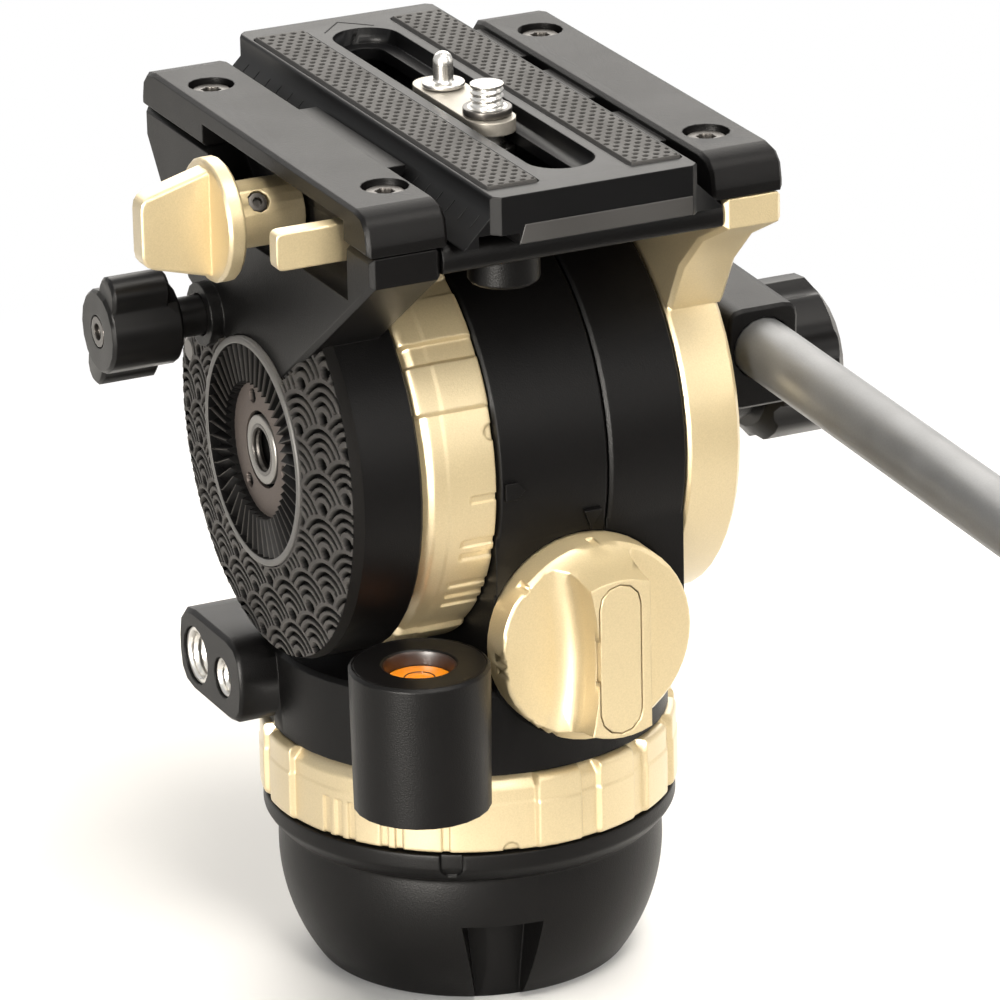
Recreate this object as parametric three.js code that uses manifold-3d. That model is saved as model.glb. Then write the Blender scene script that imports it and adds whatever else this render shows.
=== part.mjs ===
// Fluid video head on a half ball. Millimetres, +Z up, tilt axis along X, lens side +Y.
// The origin is the centre of the flat under the half ball.
import * as THREE from 'three';
import { mergeVertices } from 'three/addons/utils/BufferGeometryUtils.js';
import Module from 'manifold-3d';

const wasm = await Module();
wasm.setup();

// Clearances
const seat_gap = 0.3;
const run_gap = 0.4;
const cut_extra = 1;

// Facets of round forms
const ring_facets = 48;
const shaft_facets = 16;
const corner_facets = 3;
const wire_facets = 3;

// Half ball
const ball_radius = 37.5;
const ball_centre_z = 23;
const foot_inset = 1.8;
const foot_radius = Math.sqrt(ball_radius ** 2 - ball_centre_z ** 2) - foot_inset;
const foot_chamfer = 1;
const lip_step = 2.7;
const lip_radius = ball_radius + lip_step;
const lip_bevel = 2;
const lip_under_radius = lip_radius - lip_bevel;
const lip_under_z = 28.4;
const lip_side_z = 31.4;
const lip_top_z = 34.7;
const guide_height = 3.6;
const notch_azimuth_deg = -15.5;
const notch_top_width = 16;
const notch_foot_width = 8.6;
const notch_height = 18.5;
const notch_step = 0.5;
const notch_floor_radius = foot_radius + notch_step;

// Steel insert in the foot, 3/8 inch thread
const large_thread_radius = 4.1;
const small_thread_radius = 2.7;
const foot_insert_radius = 7;
const foot_insert_length = 14;

// Pan spindle and bearing
const spindle_radius = 9;
const spindle_foot_z = 16.5;
const spindle_top_z = 62;
const spindle_flange_radius = 12;
const spindle_flange_height = 2;
const pan_bearing_radius = 16;
const pan_bearing_height = 7;

// Drag rings: one form, used flat for pan and upright for tilt
const drag_ring_width = 15;
const drag_ring_chamfer = 2.2;
const drag_pad_rise = 0.5;
const drag_pad_radius = lip_radius + drag_pad_rise;
const drag_pad_height = 1.1;
const drag_ring_radius = drag_pad_radius - drag_pad_height;
const drag_ring_wall = 6.6;
const drag_ring_bore = drag_ring_radius - drag_ring_wall;
const guide_gap = 0.6;
const guide_radius = drag_ring_bore - guide_gap;
const drag_pad_chamfer = 1.4;
const drag_pads = 15;
const drag_pad_angle_deg = 13;
const drag_pad_slope_deg = 0.6;
const drag_pad_pitch_deg = 19.3;
const drag_first_pad_deg = 0.7;
const pad_facets = 2;
const tilt_ring_turn_deg = 119;

// Friction packs inside the rings
const pack_step = 1.8;
const pack_outer_radius = guide_radius - pack_step;
const pack_inner_radius = 12.6;
const pack_height = 7.2;
const pack_disc_share = 0.6;
const pack_groove_share = 0.94;
const pack_discs = 3;

// Pan body
const collar_step = 0.6;
const collar_radius = drag_ring_radius - collar_step;
const collar_top_z = 67.4;
const collar_edge = 0.9;
const collar_cavity_depth = 4;
const barrel_radius = lip_radius;
const barrel_clearance = 1.4;
const barrel_left_x = -10.9;
const barrel_seam_x = 12;
const barrel_right_x = 28.3;
const barrel_skin = 6.7;
const barrel_bore = barrel_radius - barrel_skin;
const barrel_wall = 4;
const neck_step = 1;
const neck_half_depth = collar_radius - neck_step;
const body_edge = 0.6;

// Tilt axis and the knob on the operator's side
const tilt_axis_z = collar_top_z + barrel_clearance + drag_pad_radius;
const knob_x = 7;
const knob_drop = 32.7;
const knob_z = tilt_axis_z - knob_drop;
const knob_radius = 19.8;
const knob_seat_depth = 0.8;
const knob_back_y = knob_seat_depth - neck_half_depth;
const knob_rim_depth = 7;
const knob_bar_depth = 10;
const knob_rim_bevel = 0.8;
const knob_bar_left = 6.4;
const knob_bar_left_waist = 4.4;
const knob_bar_right = 6.2;
const knob_bar_reach = 16;
const knob_bar_top_radius = 15.8;
const knob_scoop_fillet = 5;
const knob_wall_fillet = 1.2;
const knob_notch_radius = 1;
const knob_notch_length = 4.5;
const knob_notch_pitch_deg = 48;
const knob_notch_spread_deg = 7.5;
const knob_settings = 3;
const knob_pocket_gap = 0.7;
const knob_inset_length = 29.6;
const knob_inset_width = 8.3;
const knob_inset_depth = 1.6;
const knob_spindle_radius = 3.6;
const knob_spindle_length = 11;

// Level housing, cap and vial
const level_x = -30;
const level_y = -44.2;
const level_radius = 13.4;
const level_foot_radius = 13;
const level_foot_z = 51.4;
const level_top_z = 79.5;
const level_web_width = 17;
const level_recess_radius = 12.3;
const level_cap_height = 2;
const level_window_radius = 6.7;
const level_vial_radius = 6.4;
const level_vial_height = 5;
const level_vial_drop = 2.6;

// Accessory boss with two threaded inserts
const boss_face_x = -46.8;
const boss_root_x = -22;
const boss_y = 17;
const boss_z = 60.5;
const boss_length = 30.4;
const boss_height = 17;
const boss_corner = 7;
const boss_edge = 0.8;
const large_insert_y = 23.9;
const small_insert_y = 10.9;
const insert_z = 60;
const large_insert_radius = 5.6;
const small_insert_radius = 3.8;
const insert_length = 9;
const insert_recess = 0.5;

// Tilt shaft, bearings and counterbalance spring
const shaft_radius = 8.6;
const shaft_left_x = -36.5;
const shaft_right_x = 36;
const bearing_radius = 13.7;
const spring_radius = 21;
const spring_wire_radius = 2.6;
const spring_turns = 3;
const spring_steps_per_turn = 12;

// Tilt drag ring and its friction pack
const tilt_ring_right_x = -11.2;

// Left arm, heights measured from the tilt axis
const arm_rear_y = -55;
const arm_front_y = 50;
const floor_clearance = 8.4;
const floor_underside = drag_pad_radius + floor_clearance;
const arm_top_rise = 5.2;
const arm_top = floor_underside + arm_top_rise;
const arm_corner_drop = 0.5;
const arm_corner = floor_underside - arm_corner_drop;
const left_panel_x = -42.5;
const left_inner_x = -28.4;
const drum_step = 0.3;
const drum_radius = barrel_radius + drum_step;
const drum_left_x = -39.3;
const drum_right_x = -26.5;
const arm_edge = 0.9;
const arm_tip_rear_y = -11.5;
const arm_tip_front_y = 12;
const arm_tip_height = 17;
const arm_shoulder_y = 31.5;
const arm_shoulder_height = 24.5;
const window_rear_y = -44.5;
const window_front_y = 20.4;
const window_sill_drop = 5.5;
const window_sill = floor_underside - window_sill_drop;
const window_step_y = -21;
const window_low_y = -12;
const window_low_step = 2.4;
const window_low_sill = window_sill - window_low_step;
const window_slope_y = 4.6;
const window_head_rise = 4.7;
const window_head = arm_top + window_head_rise;
const window_back_x = -35.2;

// Cover disc round the left rosette
const wave_disc_radius = barrel_radius;
const wave_disc_face_x = -40.8;
const wave_disc_thickness = 1.2;
const wave_disc_rise = 2.2;

// Rosettes
const rosette_radius = 22;
const rosette_rim_inner = 20.2;
const rosette_tooth_inner = 13.2;
const rosette_hub_radius = 12.8;
const rosette_height = 4.8;
const rosette_hub_drop = 2.9;
const rosette_tooth_drop = 0.5;
const rosette_tooth_depth = 1;
const rosette_teeth = 24;
const rosette_bore = 7;
const rosette_pin_radius = 1.35;
const rosette_pin_circle = 10.3;
const rosette_pins = 3;
const rosette_insert_hole = 4.3;
const rosette_insert_length = 2.6;

// Right arm
const right_inner_x = 29;
const right_panel_x = 40.9;
const disc_radius = barrel_radius;
const right_curve_y = 37.2;
const right_curve_height = 42;
const right_foot_y = 31;
const right_foot_height = 25.5;
const disc_left_x = 28.6;
const disc_right_x = 39.8;

// Floor plate, safety catch and caps
const floor_lip_radius = 2.6;
const catch_x = -10;
const catch_y = -42;
const catch_housing_radius = 6.8;
const catch_housing_depth = 7.2;
const catch_pin_radius = 2.4;
const catch_pin_rise = 2.2;
const catch_flange_radius = 4.4;
const catch_spring_radius = 3.5;
const catch_spring_wire = 0.5;
const catch_spring_turns = 3;
const cap_height = 8.2;
const cap_top = arm_top + cap_height;
const cap_round = 6;
const cap_edge = 0.7;
const left_cap_outer_x = -43;
const left_cap_inner_x = -26.9;
const right_cap_outer_x = 41.2;
const right_cap_inner_x = 26.6;
const left_front_screw_x = -35.9;
const left_front_screw_y = 32.2;
const left_rear_screw_x = -32.4;
const left_rear_screw_y = -39.6;
const right_rear_screw_x = 33.4;
const right_rear_screw_y = -39;
const right_front_screw_x = 34.2;
const right_front_screw_y = 33.7;
const cap_screw_places = [
  [left_front_screw_x, left_front_screw_y], [left_rear_screw_x, left_rear_screw_y],
  [right_rear_screw_x, right_rear_screw_y], [right_front_screw_x, right_front_screw_y],
];
const counterbore_radius = 4.5;
const counterbore_depth = 4;
const screw_head_radius = 3.9;
const screw_head_height = 3;
const screw_shank_radius = 2;
const screw_length = 12;
const screw_socket_radius = 1.7;
const screw_socket_depth = 1.8;

// Quick-release plate
const plate_rear_y = -61.5;
const plate_front_y = 54.5;
const plate_half_width = 20.9;
const plate_foot_half_width = 26.2;
const plate_step = 2;
const plate_top = cap_top + plate_step;
const plate_waist_drop = 4.2;
const plate_waist = plate_top - plate_waist_drop;
const plate_foot_rise = 0.7;
const plate_corner = 1.6;
const plate_top_bevel = 0.5;
const slot_rear_y = -52;
const slot_front_y = 46;
const slot_upper_half_width = 6.7;
const slot_lower_half_width = 3.7;
const slot_under_half_width = 6;
const slot_upper_depth = 3.2;
const slot_under_depth = 4;
const strip_inner_x = 9.2;
const strip_width = 10.6;
const strip_rear_y = -56.4;
const strip_length = 105.4;
const strip_thickness = 1;
const strip_recess = 0.5;
const catch_groove_rear_y = -57.5;
const catch_groove_front_y = -11.5;
const catch_groove_half_width = 2.9;
const catch_groove_depth = 3;
const hollow_inner_x = 15.8;
const hollow_outer_x = 23.2;
const hollow_depth = 2.3;

// Clamp lips over the dovetail
const lip_reach_x = 22.1;
const lip_top_rise = 0.7;
const lip_top_height = plate_waist + lip_top_rise;
const lip_slope_gap = 0.5;
const right_lip_length = 20;
const right_lip_pitch = 30;
const right_lip_first_y = -26;
const right_lips = 3;
const shoe_rear_y = -26;
const shoe_front_y = 14;
const shoe_depth = 3.6;
const shoe_travel = 0.7;

// Screw carrier, camera screw and video pin
const carrier_y = -4.5;
const carrier_length = 33;
const carrier_width = 9.4;
const carrier_thickness = 2.6;
const camera_screw_y = -14.8;
const camera_thread_radius = 3.17;
const camera_thread_height = 4.6;
const camera_collar_radius = 4.6;
const camera_collar_height = 1.3;
const camera_head_radius = 5.3;
const camera_head_height = 2.6;
const video_pin_y = 4.6;
const video_pin_radius = 1.75;
const video_pin_height = 6.2;
const video_flange_radius = 4.1;
const video_flange_height = 0.9;

// Plate lock knob, release lever and tilt lock knob
const lock_y = -6;
const lock_rise = 0.3;
const lock_height = floor_underside + lock_rise;
const lock_hub_radius = 6.4;
const lock_hub_left_x = -50.4;
const lock_hub_right_x = -36.4;
const lock_shaft_radius = 3;
const lock_shaft_right_x = -31.2;
const lock_flange_radius = 11.8;
const lock_flange_thickness = 3.6;
const lock_fin_end_x = -67.6;
const lock_fin_root_half = 10.6;
const lock_fin_tip_half = 6.6;
const lock_fin_thickness = 5.2;
const lock_fin_tip_corner = 2.4;
const set_screw_radius = 1.9;
const set_screw_x = -45.2;
const set_screw_depth = 3.6;
const set_screw_angle_deg = 38;
const lever_pivot_x = -37.8;
const lever_pivot_y = -39.5;
const lever_tip_x = -54.8;
const lever_thickness = 3.6;
const lever_rise = 0.9;
const lever_foot = floor_underside + lever_rise;
const lever_height = 7.3;
const lever_tip_corner = 1.4;
const lever_eye_radius = 2.2;
const tilt_lock_y = 20;
const tilt_lock_height = 21.5;
const tilt_lock_boss_radius = 6.2;
const tilt_lock_boss_length = 2.6;
const tilt_lock_stem_radius = 3.9;
const tilt_lock_stem_x = -51.4;
const tilt_lock_hub_radius = 8.2;
const tilt_lock_end_x = -66;
const tilt_lock_wing_radius = 12.6;
const tilt_lock_wing_thickness = 7.6;
const tilt_lock_screw_radius = 3;
const tilt_lock_screw_height = 1.6;
const side_screw_y = 34;
const side_screw_height = 9.5;
const side_screw_radius = 2.6;
const side_screw_depth = 2.4;

// Pan lock knob on the lens side of the collar
const pan_lock_azimuth_deg = 152;
const pan_lock_z = 59.4;
const pan_lock_stem_radius = 3.4;
const pan_lock_face_radius = 38.4;
const pan_lock_start_radius = 28;
const pan_lock_hub_radius = 5.6;
const pan_lock_wing_radius = 7.2;
const pan_lock_wing_thickness = 5.4;
const pan_lock_end_radius = 52;

// Pan handle
const clamp_disc_radius = 20;
const clamp_disc_left_x = 43.6;
const clamp_disc_thickness = 4;
const clamp_hub_radius = 10.6;
const clamp_right_x = 58.4;
const socket_x = 51.2;
const socket_height = 14;
const socket_half_width = 7.4;
const socket_top = 22.4;
const socket_bottom = 2;
const socket_rear_y = -26.5;
const socket_front_y = 16;
const socket_corner = 3;
const tube_radius = 6;
const tube_front_y = 13;
const tube_rear_y = -256;
const tube_wall = 1.2;
const grip_radius = 13.2;
const grip_waist_radius = 11.6;
const grip_front_y = -150;
const grip_rear_y = -264;
const end_cap_length = 9;
const end_cap_plug_radius = 4.4;
const end_cap_plug_length = 10;
const handle_knob_radius = 15.6;
const handle_knob_left_x = 59.6;
const handle_knob_right_x = 76.2;
const handle_knob_flutes = 7;
const handle_knob_flute_radius = 4.2;
const handle_bolt_radius = 3.9;
const handle_bolt_left_x = 38.9;
const handle_slope_deg = 2;

const radians = THREE.MathUtils.degToRad;

// Frames that turn an extrusion from +Z to another axis
const to_x = new THREE.Matrix4().makeBasis(
  new THREE.Vector3(0, 1, 0), new THREE.Vector3(0, 0, 1), new THREE.Vector3(1, 0, 0));
const to_y = new THREE.Matrix4().makeBasis(
  new THREE.Vector3(1, 0, 0), new THREE.Vector3(0, 0, 1), new THREE.Vector3(0, -1, 0));

// Joining and cutting

function solidFrom(vertices, triangles) {
  return new wasm.Manifold(new wasm.Mesh({ numProp: 3, vertProperties: vertices, triVerts: triangles }));
}

// A closed three.js geometry as a solid, with its faces pointing out.
function solid(geometry) {
  const bare = geometry.clone();
  bare.deleteAttribute('normal');
  bare.deleteAttribute('uv');
  const merged = mergeVertices(bare);
  const kept = [];
  const index = merged.index.array;
  for (let i = 0; i < index.length; i += 3) {
    const [a, b, c] = [index[i], index[i + 1], index[i + 2]];
    if (a !== b && b !== c && c !== a) kept.push(a, b, c);
  }
  const vertices = new Float32Array(merged.attributes.position.array);
  const body = solidFrom(vertices, new Uint32Array(kept));
  if (body.volume() > 0) return body;
  return solidFrom(vertices, new Uint32Array(kept.reverse()));
}

function mesh(name, body, material) {
  const result = body.getMesh();
  const geometry = new THREE.BufferGeometry();
  geometry.setAttribute('position', new THREE.BufferAttribute(new Float32Array(result.vertProperties), 3));
  geometry.setIndex(new THREE.BufferAttribute(new Uint32Array(result.triVerts), 1));
  geometry.computeVertexNormals();
  const node = new THREE.Mesh(geometry, material);
  node.name = name;
  return node;
}

function join(bodies) {
  return bodies.reduce((whole, next) => whole.add(next));
}

function cut(body, cutters) {
  return cutters.reduce((whole, next) => whole.subtract(next), body);
}

// Basic forms

function outline(points) {
  return new THREE.Shape(points.map(([x, y]) => new THREE.Vector2(x, y)));
}

// A polygon whose corners are rounded; radii follow the points.
function roundedOutline(points, radii) {
  const shape = new THREE.Shape();
  points.forEach(([x, y], i) => {
    const corner = new THREE.Vector2(x, y);
    const before = new THREE.Vector2(...points[(i + points.length - 1) % points.length]);
    const after = new THREE.Vector2(...points[(i + 1) % points.length]);
    const start = corner.clone().add(before.sub(corner).setLength(radii[i]));
    const end = corner.clone().add(after.sub(corner).setLength(radii[i]));
    if (i === 0) shape.moveTo(start.x, start.y);
    else shape.lineTo(start.x, start.y);
    if (radii[i] > 0) shape.quadraticCurveTo(x, y, end.x, end.y);
  });
  shape.closePath();
  return shape;
}

function box2(left, right, bottom, top) {
  return [[left, bottom], [right, bottom], [right, top], [left, top]];
}

// A stadium, long along its second axis.
function stadium(cx, cy, half_width, half_length) {
  const shape = new THREE.Shape();
  const straight = half_length - half_width;
  shape.absarc(cx, cy + straight, half_width, 0, Math.PI, false);
  shape.absarc(cx, cy - straight, half_width, Math.PI, 2 * Math.PI, false);
  shape.closePath();
  return shape;
}

function extruded(shape, depth, bevel, segments) {
  return new THREE.ExtrudeGeometry(shape, {
    depth: depth - 2 * bevel,
    bevelEnabled: bevel > 0,
    bevelThickness: bevel,
    bevelSize: bevel,
    bevelOffset: -bevel,
    bevelSegments: 1,
    curveSegments: segments,
  }).translate(0, 0, bevel);
}

function prismX(shape, x0, x1, bevel = 0, segments = corner_facets) {
  return solid(extruded(shape, x1 - x0, bevel, segments).applyMatrix4(to_x).translate(x0, 0, 0));
}

// From the lens side y1 back to y0.
function prismY(shape, y0, y1, bevel = 0, segments = corner_facets) {
  return solid(extruded(shape, y1 - y0, bevel, segments).applyMatrix4(to_y).translate(0, y1, 0));
}

function prismZ(shape, z0, z1, bevel = 0, segments = corner_facets) {
  return solid(extruded(shape, z1 - z0, bevel, segments).translate(0, 0, z0));
}

// Profile points are [radius, height]; the form turns round Z.
function lathe(points, facets = ring_facets) {
  const closed = [...points, points[0]].map(([r, h]) => new THREE.Vector2(r, h));
  return new THREE.LatheGeometry(closed, facets).rotateX(Math.PI / 2);
}

function revolveZ(points, facets) {
  return solid(lathe(points, facets));
}

// Heights run along +X.
function revolveX(points, facets) {
  return solid(lathe(points, facets).rotateY(Math.PI / 2));
}

// Heights run along -Y, towards the operator.
function revolveY(points, facets) {
  return solid(lathe(points, facets).rotateX(Math.PI / 2));
}

function rod(radius, h0, h1) {
  return [[0, h0], [radius, h0], [radius, h1], [0, h1]];
}

function tubeProfile(inner, outer, h0, h1) {
  return [[inner, h0], [outer, h0], [outer, h1], [inner, h1]];
}

function moved(body, x, y, z) {
  return body.translate([x, y, z]);
}

// Materials

function finish(color, roughness, metalness) {
  return new THREE.MeshStandardMaterial({ color, roughness, metalness });
}

const black_paint = () => finish(0x1d1d1f, 0.55, 0.2);
const black_anodised = () => finish(0x232325, 0.45, 0.6);
const gold_paint = () => finish(0xcbb98c, 0.4, 0.55);
const steel = () => finish(0xb9bbbe, 0.3, 0.95);
const bearing_steel = () => finish(0x8f9296, 0.35, 0.9);
const rubber = () => finish(0x4a4846, 0.85, 0);
const friction_disc = () => finish(0x6d5f4a, 0.7, 0.3);
const amber = () => finish(0xd98a12, 0.15, 0);
const grey_plastic = () => finish(0x6f6a66, 0.5, 0.3);

// Half ball and pan bearing

function bowl() {
  const arc = [];
  const first = Math.asin((foot_chamfer - ball_centre_z) / ball_radius);
  const last = Math.asin((lip_under_z - ball_centre_z) / ball_radius);
  const steps = 4;
  for (let i = 0; i <= steps; i += 1) {
    const angle = first + (last - first) * i / steps;
    arc.push([ball_radius * Math.cos(angle), ball_centre_z + ball_radius * Math.sin(angle)]);
  }
  const spindle_bore = spindle_radius + seat_gap;
  const insert_bore = foot_insert_radius + seat_gap;
  const insert_top = foot_insert_length + seat_gap;
  const body = revolveZ([
    [insert_bore, 0], [foot_radius, 0], ...arc,
    [lip_under_radius, lip_under_z + foot_chamfer / 2], [lip_radius, lip_side_z], [lip_radius, lip_top_z],
    [guide_radius, lip_top_z], [guide_radius, lip_top_z + guide_height],
    [spindle_bore, lip_top_z + guide_height], [spindle_bore, insert_top], [insert_bore, insert_top],
  ]);
  const notch = prismY(outline([
    [-notch_foot_width / 2, -cut_extra], [notch_foot_width / 2, -cut_extra],
    [notch_top_width / 2, notch_height], [-notch_top_width / 2, notch_height],
  ]), -2 * ball_radius, 0);
  const notch_face = revolveZ(rod(notch_floor_radius, -2 * cut_extra, notch_height + cut_extra));
  return mesh('bowl', cut(body, [notch.subtract(notch_face).rotate([0, 0, notch_azimuth_deg])]), black_paint());
}

function threadedInsert(inner, outer, length) {
  return tubeProfile(inner, outer, 0, length);
}

function bowlInsert() {
  const profile = threadedInsert(large_thread_radius, foot_insert_radius, foot_insert_length);
  return mesh('bowl_insert', revolveZ(profile, shaft_facets), steel());
}

function panSpindle() {
  const flange_z = lip_top_z + guide_height + seat_gap;
  return mesh('pan_spindle', revolveZ([
    [0, spindle_foot_z], [spindle_radius, spindle_foot_z], [spindle_radius, flange_z],
    [spindle_flange_radius, flange_z], [spindle_flange_radius, flange_z + spindle_flange_height],
    [spindle_radius, flange_z + spindle_flange_height], [spindle_radius, spindle_top_z], [0, spindle_top_z],
  ], shaft_facets), bearing_steel());
}

const pan_ring_z = lip_top_z + run_gap;
const collar_foot_z = pan_ring_z + drag_ring_width + run_gap;
const pan_bearing_z = collar_foot_z + collar_cavity_depth;

function panBearing() {
  const profile = tubeProfile(spindle_radius + seat_gap, pan_bearing_radius, 0, pan_bearing_height);
  return mesh('pan_bearing', moved(revolveZ(profile, shaft_facets), 0, 0, pan_bearing_z), bearing_steel());
}

// Discs stacked on one sleeve; thin and thick steps show the separate plates.
function frictionPack(inner) {
  const points = [[inner, 0]];
  const pitch = pack_height / pack_discs;
  const step_radius = pack_outer_radius * pack_groove_share;
  for (let i = 0; i < pack_discs; i += 1) {
    const z = i * pitch;
    points.push([pack_outer_radius, z], [pack_outer_radius, z + pitch * pack_disc_share]);
    points.push([step_radius, z + pitch * pack_disc_share], [step_radius, z + pitch]);
  }
  points.push([inner, pack_height]);
  return points;
}

function panDragPack() {
  const z = lip_top_z + guide_height + run_gap;
  const body = moved(revolveZ(frictionPack(pack_inner_radius), ring_facets / 2), 0, 0, z);
  return mesh('pan_drag_pack', body, friction_disc());
}

// Drag ring: a chamfered ring with raised grip pads on the part that carries no marks

function dragRingBody() {
  const base = revolveZ([
    [drag_ring_bore, 0], [drag_ring_radius, 0], [drag_ring_radius, drag_ring_width - drag_ring_chamfer],
    [drag_ring_radius - drag_ring_chamfer, drag_ring_width], [drag_ring_bore, drag_ring_width],
  ]);
  const root = drag_ring_radius - drag_pad_chamfer;
  const half = radians(drag_pad_angle_deg / 2);
  const slope = radians(drag_pad_slope_deg);
  const pads = [];
  for (let i = 0; i < drag_pads; i += 1) {
    const middle = radians(drag_first_pad_deg - 90 + i * drag_pad_pitch_deg);
    const corners = [[drag_ring_bore, -half - slope], [root, -half - slope]];
    for (let j = 0; j <= pad_facets; j += 1) corners.push([drag_pad_radius, half * (2 * j / pad_facets - 1)]);
    corners.push([root, half + slope], [drag_ring_bore, half + slope]);
    const shape = outline(corners.map(([r, a]) => [r * Math.cos(middle + a), r * Math.sin(middle + a)]));
    pads.push(prismZ(shape, 0, drag_ring_width));
  }
  const envelope = revolveZ([
    [0, 0], [drag_pad_radius - drag_pad_chamfer / 2, 0], [drag_pad_radius, drag_pad_chamfer],
    [drag_pad_radius, drag_ring_width - drag_pad_chamfer],
    [drag_pad_radius - drag_pad_chamfer, drag_ring_width], [0, drag_ring_width],
  ]);
  const bore = revolveZ(rod(drag_ring_bore, -cut_extra, drag_ring_width + cut_extra));
  return cut(base.add(join(pads).intersect(envelope)), [bore]);
}

function panDragRing() {
  return mesh('pan_drag_ring', moved(dragRingBody(), 0, 0, pan_ring_z), gold_paint());
}

// Pan body

function knobPocket() {
  const profile = rod(knob_radius + knob_pocket_gap, 0, 2 * ball_radius);
  return moved(revolveY(profile, ring_facets / 2), knob_x, knob_back_y + seat_gap, knob_z);
}

function knobBore() {
  const profile = rod(knob_spindle_radius + seat_gap, -2 * knob_spindle_length, knob_spindle_length);
  return moved(revolveY(profile, shaft_facets), knob_x, knob_back_y, knob_z);
}

function levelWeb() {
  const reach = Math.hypot(level_x, level_y);
  const half = level_web_width / 2;
  const web = prismZ(outline(box2(collar_radius / 2, reach, -half, half)), level_foot_z, collar_top_z);
  const azimuth = THREE.MathUtils.radToDeg(Math.atan2(level_y, level_x));
  return web.rotate([0, 0, azimuth]);
}

function levelHousing() {
  const profile = [
    [0, level_foot_z], [level_foot_radius, level_foot_z], [level_radius, level_top_z - body_edge],
    [level_radius - body_edge, level_top_z], [0, level_top_z],
  ];
  return moved(revolveZ(profile, ring_facets / 2), level_x, level_y, 0);
}

function levelRecess() {
  const cap_floor = level_top_z - level_cap_height - seat_gap;
  const vial_floor = level_top_z - level_vial_drop - level_vial_height - 2 * seat_gap;
  const profile = [
    [0, vial_floor], [level_vial_radius + seat_gap, vial_floor], [level_vial_radius + seat_gap, cap_floor],
    [level_recess_radius + seat_gap, cap_floor], [level_recess_radius + seat_gap, level_top_z + cut_extra],
    [0, level_top_z + cut_extra],
  ];
  return moved(revolveZ(profile, shaft_facets), level_x, level_y, 0);
}

function accessoryBoss() {
  const half = boss_length / 2;
  const rise = boss_height / 2;
  const shape = roundedOutline(box2(boss_y - half, boss_y + half, boss_z - rise, boss_z + rise),
    Array(4).fill(boss_corner));
  return prismX(shape, boss_face_x, boss_root_x, boss_edge);
}

function insertBore(y, radius) {
  const deep = boss_face_x + insert_recess + insert_length + seat_gap;
  const profile = rod(radius + seat_gap, boss_face_x - cut_extra, deep);
  return moved(revolveX(profile, shaft_facets), 0, y, insert_z);
}

// The barrel's own casting: a wall on the ring side and a bore open to the side cover.
function barrelOutline(x0, x1, edge) {
  return [
    [0, x0], [barrel_radius - edge, x0], [barrel_radius, x0 + edge],
    [barrel_radius, x1 - edge], [barrel_radius - edge, x1], [0, x1],
  ];
}

function neck(x0, x1) {
  const top = tilt_axis_z;
  const shape = outline(box2(-neck_half_depth, neck_half_depth, collar_top_z - cut_extra, top));
  return prismX(shape, x0, x1);
}

function barrelCavity(x0, x1) {
  return moved(revolveX(rod(barrel_bore, x0, x1), ring_facets / 2), 0, 0, tilt_axis_z);
}

function bearingBore(x0, x1) {
  return moved(revolveX(rod(bearing_radius + seat_gap, x0, x1), shaft_facets), 0, 0, tilt_axis_z);
}

function bodyCasting() {
  const seam = barrel_seam_x - seat_gap / 2;
  const collar = revolveZ([
    [0, collar_foot_z - guide_height], [guide_radius, collar_foot_z - guide_height], [guide_radius, collar_foot_z],
    [collar_radius, collar_foot_z], [collar_radius, collar_top_z - collar_edge],
    [collar_radius - collar_edge, collar_top_z], [0, collar_top_z],
  ]);
  const barrel = moved(revolveX(barrelOutline(barrel_left_x, seam, body_edge), ring_facets), 0, 0, tilt_axis_z);
  const ring_guide = moved(revolveX(rod(guide_radius, barrel_left_x - guide_height, barrel_left_x + cut_extra),
    ring_facets / 2), 0, 0, tilt_axis_z);
  const casting = join([
    collar, neck(barrel_left_x, seam), barrel, ring_guide, levelWeb(), levelHousing(), accessoryBoss(),
  ]);
  const spindle_bore = revolveZ(rod(spindle_radius + run_gap, 0, spindle_top_z + seat_gap), shaft_facets);
  const bearing_bore = revolveZ(rod(pan_bearing_radius + seat_gap, 0,
    pan_bearing_z + pan_bearing_height + seat_gap), shaft_facets);
  return mesh('body_casting', cut(casting, [
    spindle_bore, bearing_bore,
    barrelCavity(barrel_left_x + barrel_wall, barrel_seam_x + cut_extra),
    bearingBore(barrel_left_x - 2 * guide_height, barrel_seam_x),
    knobPocket(), knobBore(), levelRecess(),
    insertBore(large_insert_y, large_insert_radius), insertBore(small_insert_y, small_insert_radius),
    pan_lock_bore(),
  ]), black_paint());
}

function sideCover() {
  const seam = barrel_seam_x + seat_gap / 2;
  const shell = moved(revolveX(barrelOutline(seam, barrel_right_x, body_edge), ring_facets), 0, 0, tilt_axis_z);
  const skirt_shape = outline(box2(-neck_half_depth, neck_half_depth, collar_top_z + seat_gap, tilt_axis_z));
  const body = shell.add(prismX(skirt_shape, seam, barrel_right_x));
  return mesh('side_cover', cut(body, [
    barrelCavity(barrel_seam_x, barrel_right_x - barrel_wall),
    bearingBore(barrel_seam_x, barrel_right_x + cut_extra),
    knobPocket(), knobBore(),
  ]), black_paint());
}

function levelCap() {
  const z = level_top_z - level_cap_height;
  const profile = tubeProfile(level_window_radius, level_recess_radius, z, level_top_z - body_edge / 2);
  return mesh('level_cap', moved(revolveZ(profile, shaft_facets), level_x, level_y, 0), black_anodised());
}

function levelVial() {
  const top = level_top_z - level_vial_drop - seat_gap;
  const profile = rod(level_vial_radius, top - level_vial_height, top);
  return mesh('level_vial', moved(revolveZ(profile, shaft_facets), level_x, level_y, 0), amber());
}

function accessoryInsert(name, y, thread, outer) {
  const start = boss_face_x + insert_recess;
  const profile = tubeProfile(thread, outer, start, start + insert_length);
  return mesh(name, moved(revolveX(profile, shaft_facets), 0, y, insert_z), steel());
}

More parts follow.
